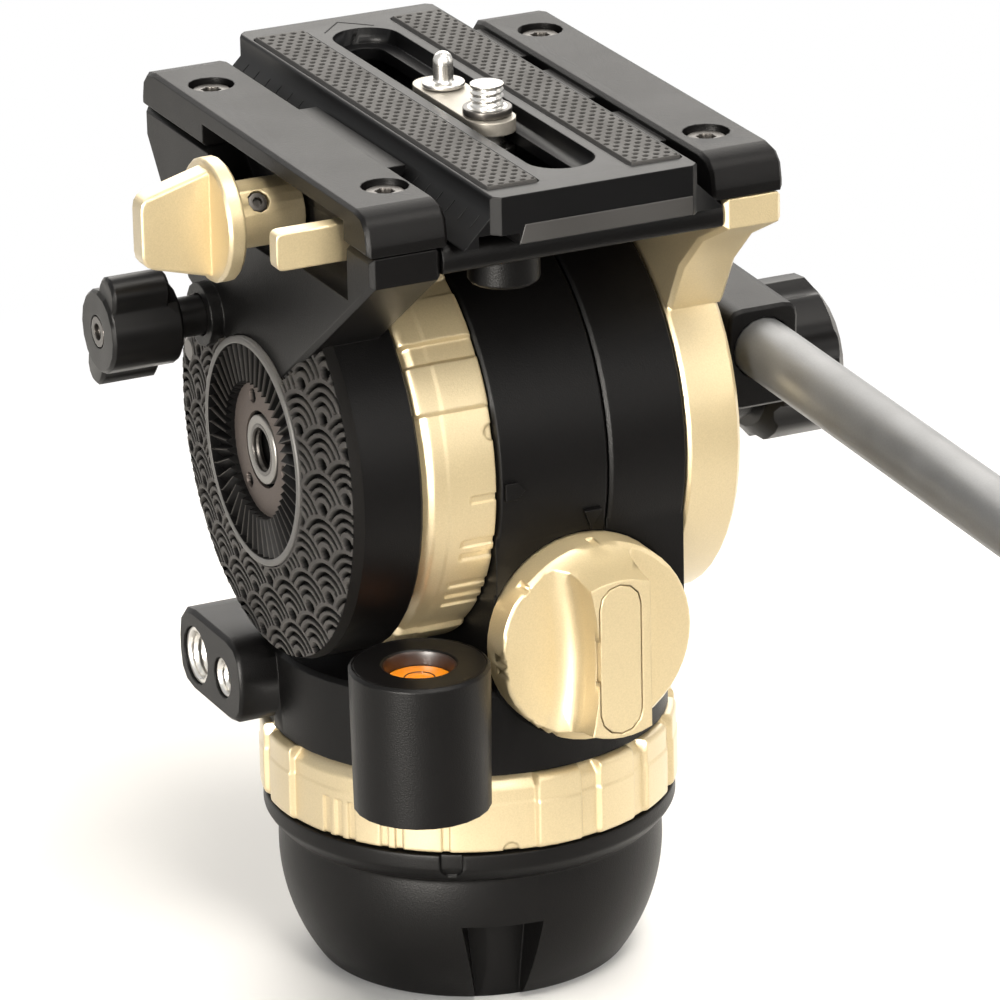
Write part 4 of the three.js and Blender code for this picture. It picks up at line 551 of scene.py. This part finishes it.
class HEAD_OT_castings(bpy.types.Operator):
    """Dresses the castings, arms, caps and plain machined pieces"""

    bl_idname = "video_head.castings"
    bl_label = "Castings"

    def execute(self, context):
        coat, gold, steel = "black_powder_coat", "pale_gold_paint", "turned_steel"
        for node, material, body in (
            ("body_casting", coat, "pan_body"),
            ("side_cover", coat, "pan_body"),
            ("left_arm", coat, "tilt_platform"),
            ("right_arm", gold, "tilt_platform"),
            ("floor_plate", coat, "tilt_platform"),
            ("catch_housing", coat, "tilt_platform"),
            ("left_cap", coat, "tilt_platform"),
            ("right_cap", coat, "tilt_platform"),
            ("clamp_shoe", "black_anodised_aluminium", "clamp"),
            ("catch_pin", steel, "catch"),
            ("counterbalance_spring", "ground_steel", "pan_body"),
            ("pan_spindle", "ground_steel", "base"),
            ("pan_bearing", "ground_steel", "pan_body"),
            ("pan_drag_pack", "pressed_friction_lining", "base"),
            ("tilt_drag_pack", "pressed_friction_lining", "pan_body"),
            ("tilt_bearing_left", "ground_steel", "pan_body"),
            ("tilt_bearing_right", "ground_steel", "pan_body"),
            ("tilt_shaft", "ground_steel", "tilt_platform"),
            ("knob_spindle", "ground_steel", "balance_knob"),
            ("quick_release_plate", "black_anodised_aluminium", "plate"),
            ("screw_carrier", "blasted_aluminium", "carrier"),
            ("counterbalance_knob", gold, "balance_knob"),
            ("knob_cover", gold, "balance_knob"),
            ("plate_lock_knob", gold, "plate_lock"),
            ("plate_release_lever", gold, "release"),
            ("lock_knob_set_screw", "dark_steel", "plate_lock"),
            ("tilt_lock_knob", "moulded_black_nylon", "tilt_lock"),
            ("tilt_lock_screw", "dark_steel", "tilt_lock"),
            ("pan_lock_knob", "moulded_black_nylon", "pan_lock"),
            ("arm_side_screw", "dark_steel", "tilt_platform"),
            ("handle_clamp", coat, "handle"),
            ("handle_knob", "moulded_black_nylon", "handle_lock"),
            ("handle_bolt", "ground_steel", "handle_lock"),
            ("handle_grip", "grip_rubber", "handle"),
            ("handle_end_cap", "moulded_black_nylon", "handle"),
            ("handle_tube", "grey_anodised_tube", "handle"),
        ):
            dressed(node, material, body)
        spring = dressed("catch_spring", "ground_steel", "tilt_platform")
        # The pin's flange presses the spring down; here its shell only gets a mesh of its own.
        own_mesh(spring)
        return {"FINISHED"}


class HEAD_OT_relief(bpy.types.Operator):
    """Makes the relief disc round the left rosette"""

    bl_idname = "video_head.relief"
    bl_label = "Relief disc"

    def execute(self, context):
        s = settings()
        inner, outer, rim, edge_shade = 22.3, 40.6, 40, 0.09
        a = np.radians(np.linspace(0, 360, 960, endpoint=False))[:, None]
        r = np.linspace(inner, outer, 101)[None]
        y, z = r * np.cos(a), r * np.sin(a)
        ridge = scallop(y, z, s.fan_radius / MM, s.fan_rise / MM)
        high = np.clip(ridge + 1 - smooth(r, 22.5, 22.7), 0, 1)
        # The last 0.6 mm is a plain dark edge that turns down over the drum's rim.
        face = 1 - smooth(r, rim - 0.05, rim + 0.05)
        x = -43.4 + (r - inner) * (2.6 / 17.9) + 3.4 * np.maximum(r - rim, 0)
        x = x + (1 - high) * face * s.relief_depth / MM
        # Where the arm's panel crosses the disc, the relief sinks under it.
        under = np.max([(y * n[0] + z * n[1] - n[2]) for n in self.arm_edges()], 0)
        x = np.where(under < 0.3, np.maximum(x, -42.2), x)
        loop_r, loop_x = flanked(a, [inner], r, [outer]), flanked(a, [-39.7], x, [-38.6])
        # The grooves get painted shade: the relief number is 0 there, which the finish turns near black.
        shade = flanked(a, [0], high * face + edge_shade * (1 - face), [edge_shade])
        look, body = "relief_grey_nylon", "tilt_platform"
        lathed("wave_disc.relief", loop_r, loop_x, a, "x", HUB, look, body, ("wave_disc",), 50, shade)
        return {"FINISHED"}

    def arm_edges(self):
        """Outward normals and distances of the arm's outline round the disc, over y and height."""
        points = [(-55, 48.6), (-11.5, 17), (12, 17), (31.5, 24.5), (50, 48.6)]
        edges = []
        for (y0, z0), (y1, z1) in zip(points[:-1], points[1:]):
            n = np.array([z1 - z0, y0 - y1]) / np.hypot(z1 - z0, y0 - y1)
            edges.append((n[0], n[1], n[0] * y0 + n[1] * z0))
        return edges


class HEAD_OT_rosettes(bpy.types.Operator):
    """Makes both rosettes with hub discs, pin holes and threaded inserts"""

    bl_idname = "video_head.rosettes"
    bl_label = "Rosettes"

    def execute(self, context):
        look, body = "toothed_anodised_metal", "tilt_platform"
        for node, base, way in (("left_rosette", -38.9, -1), ("right_rosette", 37.7, 1)):
            r, x, a, crest_highlight = rosette_surface(settings().rosette_teeth, base, way)
            lathed(node + ".teeth", r, x, a, "x", HUB, look, body, (node,), 18, crest_highlight)
        rim = pipe(20.7, 22.1, -43.8, -42.3)
        turned("left_rosette.rim", rim, "x", HUB, "rubbed_rim_metal", body, facets=144)
        self.hub()
        for node, low, high in (
            ("left_rosette_insert", -41.7, -39.7),
            ("right_rosette_insert", 37.8, 39.9),
        ):
            r, h, a = thread(4.3, low, high, 1.3, 0.35)
            loop_r = flanked(a, [5.0, 4.5], r, [4.5, 5.0])
            loop_h = flanked(a, [low, low], h, [high, high])
            lathed(node + ".thread", loop_r, loop_h, a, "x", HUB, "dark_steel", body, (node,), 30)
            collar = pipe(4.9, 6.7, low, high)
            turned(node + ".collar", collar, "x", HUB, "ground_steel", body, ease=0.25)
        return {"FINISHED"}

    def hub(self):
        """The flat disc inside the left rosette's teeth, with three pin holes."""
        inner, outer, pin_circle, back = 7.5, 13.1, 10.4, -39.8
        a = np.radians(np.linspace(0, 360, 240, endpoint=False))[:, None]
        r = np.linspace(inner, outer, 36)[None]
        pin = np.radians(68 + 120 * np.arange(3))[:, None, None]
        off_y = r * np.cos(a) - pin_circle * np.cos(pin)
        off_z = r * np.sin(a) - pin_circle * np.sin(pin)
        high = smooth(np.hypot(off_y, off_z), 1.3, 1.45).prod(0)
        loop_r, loop_x = flanked(a, [inner], r, [outer]), flanked(a, [back], -40.8 - 0.7 * high, [back])
        # The pin holes are painted black as shade: the relief number is 0 there.
        look, shade = "sintered_hub_metal", flanked(a, [0], high, [0])
        lathed("left_rosette.hub", loop_r, loop_x, a, "x", HUB, look, "tilt_platform", (), 25, shade)


class HEAD_OT_inserts(bpy.types.Operator):
    """Makes the two threaded inserts in the accessory boss"""

    bl_idname = "video_head.inserts"
    bl_label = "Accessory inserts"

    def execute(self, context):
        mouth, back = -46.3, -37.4
        for node, y, bore, outer, pitch in (
            ("accessory_insert_large", 23.9, 4.1, 5.6, 1.59),
            ("accessory_insert_small", 10.9, 2.7, 3.8, 1.27),
        ):
            r, h, a = thread(bore + 0.4, -45.9, -37.5, pitch, 0.45)
            loop_r = flanked(a, [outer, bore + 0.8], r, [outer])
            loop_h = flanked(a, [mouth, mouth], h, [back])
            at, look = (0, y, 60), "turned_steel"
            lathed(node + ".thread", loop_r, loop_h, a, "x", at, look, "pan_body", (node,), 30)
        return {"FINISHED"}


class HEAD_OT_level(bpy.types.Operator):
    """Makes the level: glossy cap, amber vial, target ring and bubble"""

    bl_idname = "video_head.level"
    bl_label = "Level"

    def execute(self, context):
        cap = [(6.9, 77.5), (12.55, 77.5), (12.55, 79.35), (12.3, 79.5), (7.3, 79.5), (6.9, 79.2)]
        wall = [(6.45, 76.4), (6.9, 76.4), (6.9, 79.2), (6.75, 79.2)]
        for name, profile, look, replaced, ease in (
            ("level_cap.rim", cap, "moulded_black_nylon", ("level_cap",), 0.15),
            ("level_cap.wall", wall, "brown_shade_plastic", (), 0.05),
            ("level_vial.glass", rod(6.4, 71.6, 76.6), "amber_fluid", ("level_vial",), 0.5),
            ("level_vial.target", pipe(2.75, 3.0, 76.5, 76.7), "black_acrylic", (), 0.02),
            ("level_vial.bubble", rod(2.3, 76.4, 76.72), "amber_fluid", (), 0.15),
        ):
            turned(name, profile, "z", (-30, -44.2, 0), look, "pan_body", replaced, ease=ease)
        return {"FINISHED"}


class HEAD_OT_plate(bpy.types.Operator):
    """Makes the rubber strips, camera screw and video pin"""

    bl_idname = "video_head.plate"
    bl_label = "Camera plate"

    def execute(self, context):
        self.strips()
        self.screw()
        shank, flange, post = 1.75, 4.1, 1.95
        pin = [(0, -5.0), (shank, -5.0), (shank, 0), (flange, 0), (flange, 0.9), (2.15, 0.9)]
        pin += [(post, 1.3), (post, 4.6), (1.85, 5.3), (1.5, 6.1), (0.9, 6.6), (0, 6.8)]
        pin = [(r, PLATE_TOP + h) for r, h in pin]
        at, look = (0, 4.6, 0), "turned_steel"
        turned("video_pin.post", pin, "z", at, look, "carrier", ("video_pin",), facets=64, ease=0.25)
        return {"FINISHED"}

    def strips(self):
        """The rubber strips, with rows of round pits that are set off by half a pit from row to row."""
        half, length, column_step, row_step, border = 5.3, 105.4, 2.2, 1.9, 0.8
        x = np.linspace(-half, half, 72)[:, None]
        y = np.linspace(0, length, 640)[None]
        odd = np.floor(y / row_step) % 2
        off_x = (x + half + column_step / 2 * odd) % column_step - column_step / 2
        off_y = y % row_step - row_step / 2
        inset = (np.abs(x) < 4.7) & (y > border) & (y < length - border)
        pit = inset * (1 - smooth(np.hypot(off_x, off_y), 0.42, 0.62))
        high = smooth(np.minimum(half - np.abs(x), np.minimum(y, length - y)), 0.1, 0.45)
        z = PLATE_TOP - 0.35 + 0.85 * high - 0.45 * pit
        for node, side in (("rubber_strip_left", -1), ("rubber_strip_right", 1)):
            points = np.stack(np.broadcast_arrays(side * 14.5 + x, y - 56.4, z), -1)
            floor = points.copy()
            floor[..., 2] = PLATE_TOP - 0.5
            mesh = sheet_mesh(node + ".pad", np.concatenate([points, floor[::-1]]))
            # Pits, the strip's edges and the floor below are painted near black as shade.
            shaded(mesh, np.concatenate([high * (1 - pit), 0 * z]))
            piece(node + ".pad", clean(mesh), "grey_rubber", "plate", (node,), 60)

    def screw(self):
        """The camera screw: head under the plate, collar, thread and a dark washer on the collar."""
        at, body, head = (0, -14.8, 0), "mount_screw", TILT_AXIS + 56.0
        collar, tip = PLATE_TOP, PLATE_TOP + 5.9
        r, h, a = thread(3.17, collar + 1.35, collar + 5.8, 1.27, 0.5)
        loop_r = flanked(a, [0, 5.3, 5.3, 3.1, 3.1, 4.6, 4.6], r, [2.5, 0])
        heights = [head, head, head + 2.6, head + 2.6, collar, collar, collar + 1.3]
        loop_h = flanked(a, heights, h, [tip, tip])
        look = "turned_steel"
        lathed("camera_screw.thread", loop_r, loop_h, a, "z", at, look, body, ("camera_screw",), 35)
        washer = pipe(3.2, 4.65, collar - 0.02, collar + 1.33)
        turned("camera_screw.washer", washer, "z", at, "dark_steel", body, facets=64, ease=0.15)


class HEAD_OT_screws(bpy.types.Operator):
    """Makes the four cap screws with hexagon sockets"""

    bl_idname = "video_head.screws"
    bl_label = "Cap screws"

    def execute(self, context):
        seat, head, shank, length = CAP_TOP - 4.0, 3.9, 2.0, 12
        a = np.radians(np.linspace(0, 360, 72, endpoint=False))[:, None]
        r = np.concatenate([np.linspace(0.01, 2.4, 14), np.linspace(2.5, 3.5, 4), [3.75, head]])[None]
        # Distance from the middle across the nearest flat of the hexagon.
        flat = r * np.cos((a % (TAU / 6)) - TAU / 12)
        top = seat + 3.0 - 1.8 * (1 - smooth(flat, 1.5, 1.62)) - 0.35 * smooth(r, 3.5, head)
        loop_r = flanked(a, [], r, [head, shank, shank, 0.01])
        loop_h = flanked(a, [], top, [seat, seat, seat - length, seat - length])
        for i, (x, y) in enumerate([(-35.9, 32.2), (-32.4, -39.6), (33.4, -39.0), (34.2, 33.7)], 1):
            node, at, look = f"cap_screw_{i}", (x, y, 0), "dark_steel"
            lathed(node + ".socket", loop_r, loop_h, a, "z", at, look, "tilt_platform", (node,), 35)
        return {"FINISHED"}


class HEAD_OT_marks(bpy.types.Operator):
    """Makes the index marks of the body and the graduation, band and arrow of the plate"""

    bl_idname = "video_head.marks"
    bl_label = "Marks"

    def execute(self, context):
        def barrel(u, v, height):
            """u mm across and v degrees up from the operator's side of the barrel."""
            r, a = BARREL_RADIUS + height, np.radians(v)
            return u, -r * np.cos(a), TILT_AXIS + r * np.sin(a)

        def dovetail(u, v, height):
            """u mm down the left slope of the plate, which stands at 45 degrees, and v along it."""
            slope = np.sqrt(0.5)
            return -PLATE_HALF - (u + height) * slope, v, PLATE_WAIST - (u - height) * slope

        def rear(u, v, height):
            """u mm across and v up the plate's rear face."""
            return u, PLATE_REAR - height, v

        def above(u, v, height):
            """u mm across and v along the plate's top."""
            return u, v, PLATE_TOP + height

        degree = 1 / (BARREL_RADIUS * np.radians(1))
        arrow = ((0, -1.7), (2.5, -1.7), (4.0, 0), (2.5, 1.7), (0, 1.7))
        arrow = [(u - 9.9, -1.4 + v * degree) for u, v in arrow]
        drop = [(u + 8.5, -14.2 + v * degree) for u, v in ((-1.8, 2.2), (0, -2.2), (1.8, 2.2))]
        slabs("body_casting.index", [arrow, drop], barrel, "black_powder_coat", "pan_body", 0.7)
        ticks = [line((0.6, y), (3.4, y), LINE_WIDTH) for y in np.arange(-56.3, 50, 5.22)]
        slabs("quick_release_plate.scale", ticks, dovetail, "mark_black", "plate", 0.04)
        band = [(-15.8, 164.6), (19.2, 164.6), (19.2, 168.2), (-14.6, 168.2)]
        slabs("quick_release_plate.band", [band], rear, "rubbed_anodising", "plate")
        peak = (-0.9, 51.4)
        chevron = [line(peak, (4.4, 46.0), LINE_WIDTH), line(peak, (-6.0, 46.0), LINE_WIDTH)]
        slabs("quick_release_plate.arrow", chevron, above, "mark_black", "plate", 0.04)
        return {"FINISHED"}


class HEAD_OT_stage(bpy.types.Operator):
    """Makes the floor, the lights, the world and the camera"""

    bl_idname = "video_head.stage"
    bl_label = "Stage"

    def execute(self, context):
        self.ground(context)
        self.studio(context)
        self.lights(context)
        self.camera(context)
        context.scene.view_settings.view_transform = "Standard"
        return {"FINISHED"}

    def ground(self, context):
        """The wide floor and the two cards on it."""
        x = np.linspace(-4000, 4000, 3)
        grid = np.stack([*np.meshgrid(x, x, indexing="ij"), np.full((3, 3), -0.05)], -1)
        mesh = sheet_mesh("floor", grid, wrap_u=False)
        mesh.materials.append(self.paper())
        floor = bpy.data.objects.new("floor", mesh)
        floor.visible_diffuse = False
        context.scene.collection.objects.link(floor)
        # Only the table under the head throws light back up; in front of it lies a black card.
        self.card(context, "table", (-170, 170), (-170, 170), 0.0, "#f7f6f4")
        flag = self.card(context, "flag", (-1500, 1500), (-1250, -250), 1.0, "#080808")
        flag.visible_diffuse = False

    def studio(self, context):
        """A world that is white to the camera and in gloss, and dim as a light."""
        world = bpy.data.worlds.new("studio")
        world.use_nodes = True
        tree = world.node_tree
        tree.nodes.clear()
        path = add(tree, "ShaderNodeLightPath")
        seen = path.outputs["Is Camera Ray"]
        for ray in ("Is Glossy Ray", "Is Transmission Ray"):
            links = {0: seen, 1: path.outputs[ray]}
            seen = add(tree, "ShaderNodeMath", {"operation": "MAXIMUM"}, links).outputs[0]
        plain = add(tree, "ShaderNodeBackground", {"Color": (*linear("#eef0f2"), 1), "Strength": 0.22})
        white = add(tree, "ShaderNodeBackground", {"Color": (1, 1, 1, 1), "Strength": 1.0})
        links = {0: seen, 1: plain.outputs[0], 2: white.outputs[0]}
        mixed = add(tree, "ShaderNodeMixShader", None, links)
        add(tree, "ShaderNodeOutputWorld", None, {"Surface": mixed.outputs[0]})
        context.scene.world = world

    def lights(self, context):
        """Soft panels that face the head, each with its share of the main power."""
        power = settings().key_power
        for name, at, size, share in (
            ("key_light", (0.1, -1.3, 0.6), (0.9, 0.6), 0.72),
            ("strip_light", (-0.95, -0.77, 0.2), (0.14, 0.9), 8.0),
            ("right_light", (1.2, -0.5, 0.5), (0.5, 0.9), 0.25),
            ("top_light", (0.1, -0.5, 1.3), (0.9, 0.7), 1.8),
            ("back_panel", (0.9, 2.2, 1.75), (4.0, 2.2), 8.0),
        ):
            lamp = bpy.data.lights.new(name, "AREA")
            lamp.shape = "RECTANGLE"
            lamp.size, lamp.size_y = size
            lamp.energy = power * share
            lamp.color = linear("#fffaf2")
            made = bpy.data.objects.new(name, lamp)
            made.location = at
            back = made.location - Vector((0, 0, 0.1))
            made.rotation_euler = back.to_track_quat("Z", "Y").to_euler()
            made.visible_camera = False
            # The strip only adds a line of gloss, as a card beside the head does.
            made.visible_diffuse = name != "strip_light"
            context.scene.collection.objects.link(made)

    def camera(self, context):
        """The camera of the picture, from its direction, roll, place in metres and focal length."""
        a, e, roll = np.radians([-24.983, 20.794, -1.188])
        level = np.array([np.cos(a), np.sin(a), 0])
        rise = np.array([-np.sin(a) * np.sin(e), np.cos(a) * np.sin(e), np.cos(e)])
        place = np.eye(4)
        place[:3, 0] = np.cos(roll) * level + np.sin(roll) * rise
        place[:3, 1] = -np.sin(roll) * level + np.cos(roll) * rise
        place[:3, 2] = np.sin(a) * np.cos(e), -np.cos(a) * np.cos(e), np.sin(e)
        place[:3, 3] = -0.5367, -1.1687, 0.5800
        lens = bpy.data.cameras.new("camera")
        lens.lens = 257.683
        lens.sensor_width = 36
        lens.clip_start, lens.clip_end = 0.05, 20
        camera = bpy.data.objects.new("camera", lens)
        camera.matrix_world = Matrix(place.tolist())
        context.scene.collection.objects.link(camera)
        context.scene.camera = camera

    def paper(self):
        """Pale paper that is lit near the head and plain white to the camera further out."""
        material = bpy.data.materials.new("studio_paper")
        material.use_nodes = True
        tree = material.node_tree
        surface = tree.nodes["Principled BSDF"]
        surface.inputs["Base Color"].default_value = (*linear("#f7f6f4"), 1)
        surface.inputs["Roughness"].default_value = 0.6
        where = add(tree, "ShaderNodeTexCoord").outputs["Object"]
        far = add(tree, "ShaderNodeVectorMath", {"operation": "LENGTH"}, {0: where}).outputs["Value"]
        limits = {"interpolation_type": "SMOOTHSTEP", "From Min": 0.1, "From Max": 0.4}
        fade = add(tree, "ShaderNodeMapRange", limits, {"Value": far}).outputs["Result"]
        seen = add(tree, "ShaderNodeLightPath").outputs["Is Camera Ray"]
        share = add(tree, "ShaderNodeMath", {"operation": "MULTIPLY"}, {0: fade, 1: seen}).outputs[0]
        white = add(tree, "ShaderNodeEmission", {"Strength": 1.0}).outputs[0]
        links = {0: share, 1: surface.outputs[0], 2: white}
        mixed = add(tree, "ShaderNodeMixShader", None, links).outputs[0]
        tree.links.new(mixed, tree.nodes["Material Output"].inputs["Surface"])
        return material

    def card(self, context, name, wide, deep, height, colour):
        """A flat card that the camera does not see and that throws no shadow."""
        x, y = np.meshgrid(wide, deep, indexing="ij")
        mesh = sheet_mesh(name, np.stack([x, y, np.full((2, 2), height)], -1), wrap_u=False)
        material = bpy.data.materials.new(name)
        material.use_nodes = True
        surface = material.node_tree.nodes["Principled BSDF"]
        surface.inputs["Base Color"].default_value = (*linear(colour), 1)
        surface.inputs["Roughness"].default_value = 0.9
        mesh.materials.append(material)
        card = bpy.data.objects.new(name, mesh)
        card.visible_camera = card.visible_shadow = False
        context.scene.collection.objects.link(card)
        return card


OPERATORS = (
    HEAD_OT_finishes,
    HEAD_OT_bowl,
    HEAD_OT_rings,
    HEAD_OT_castings,
    HEAD_OT_relief,
    HEAD_OT_rosettes,
    HEAD_OT_inserts,
    HEAD_OT_level,
    HEAD_OT_plate,
    HEAD_OT_screws,
    HEAD_OT_marks,
    HEAD_OT_stage,
)


class HEAD_PT_panel(bpy.types.Panel):
    """Lists the steps and the settings of the head"""

    bl_label = "Video Head"
    bl_space_type = "VIEW_3D"
    bl_region_type = "UI"
    bl_category = "Video Head"

    def draw(self, context):
        for name in HeadSettings.__annotations__:
            self.layout.prop(context.scene.video_head, name)
        for operator in OPERATORS:
            self.layout.operator(operator.bl_idname)


def register():
    """Adds the settings, operators and panel."""
    for made in (HeadSettings, *OPERATORS, HEAD_PT_panel):
        bpy.utils.register_class(made)
    bpy.types.Scene.video_head = PointerProperty(type=HeadSettings)


def unregister():
    """Takes the add-on out again."""
    del bpy.types.Scene.video_head
    for made in reversed((HeadSettings, *OPERATORS, HEAD_PT_panel)):
        bpy.utils.unregister_class(made)


def main():
    """Registers the add-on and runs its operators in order."""
    register()
    for operator in OPERATORS:
        group, name = operator.bl_idname.split(".")
        getattr(getattr(bpy.ops, group), name)()


if __name__ == "__main__":
    main()
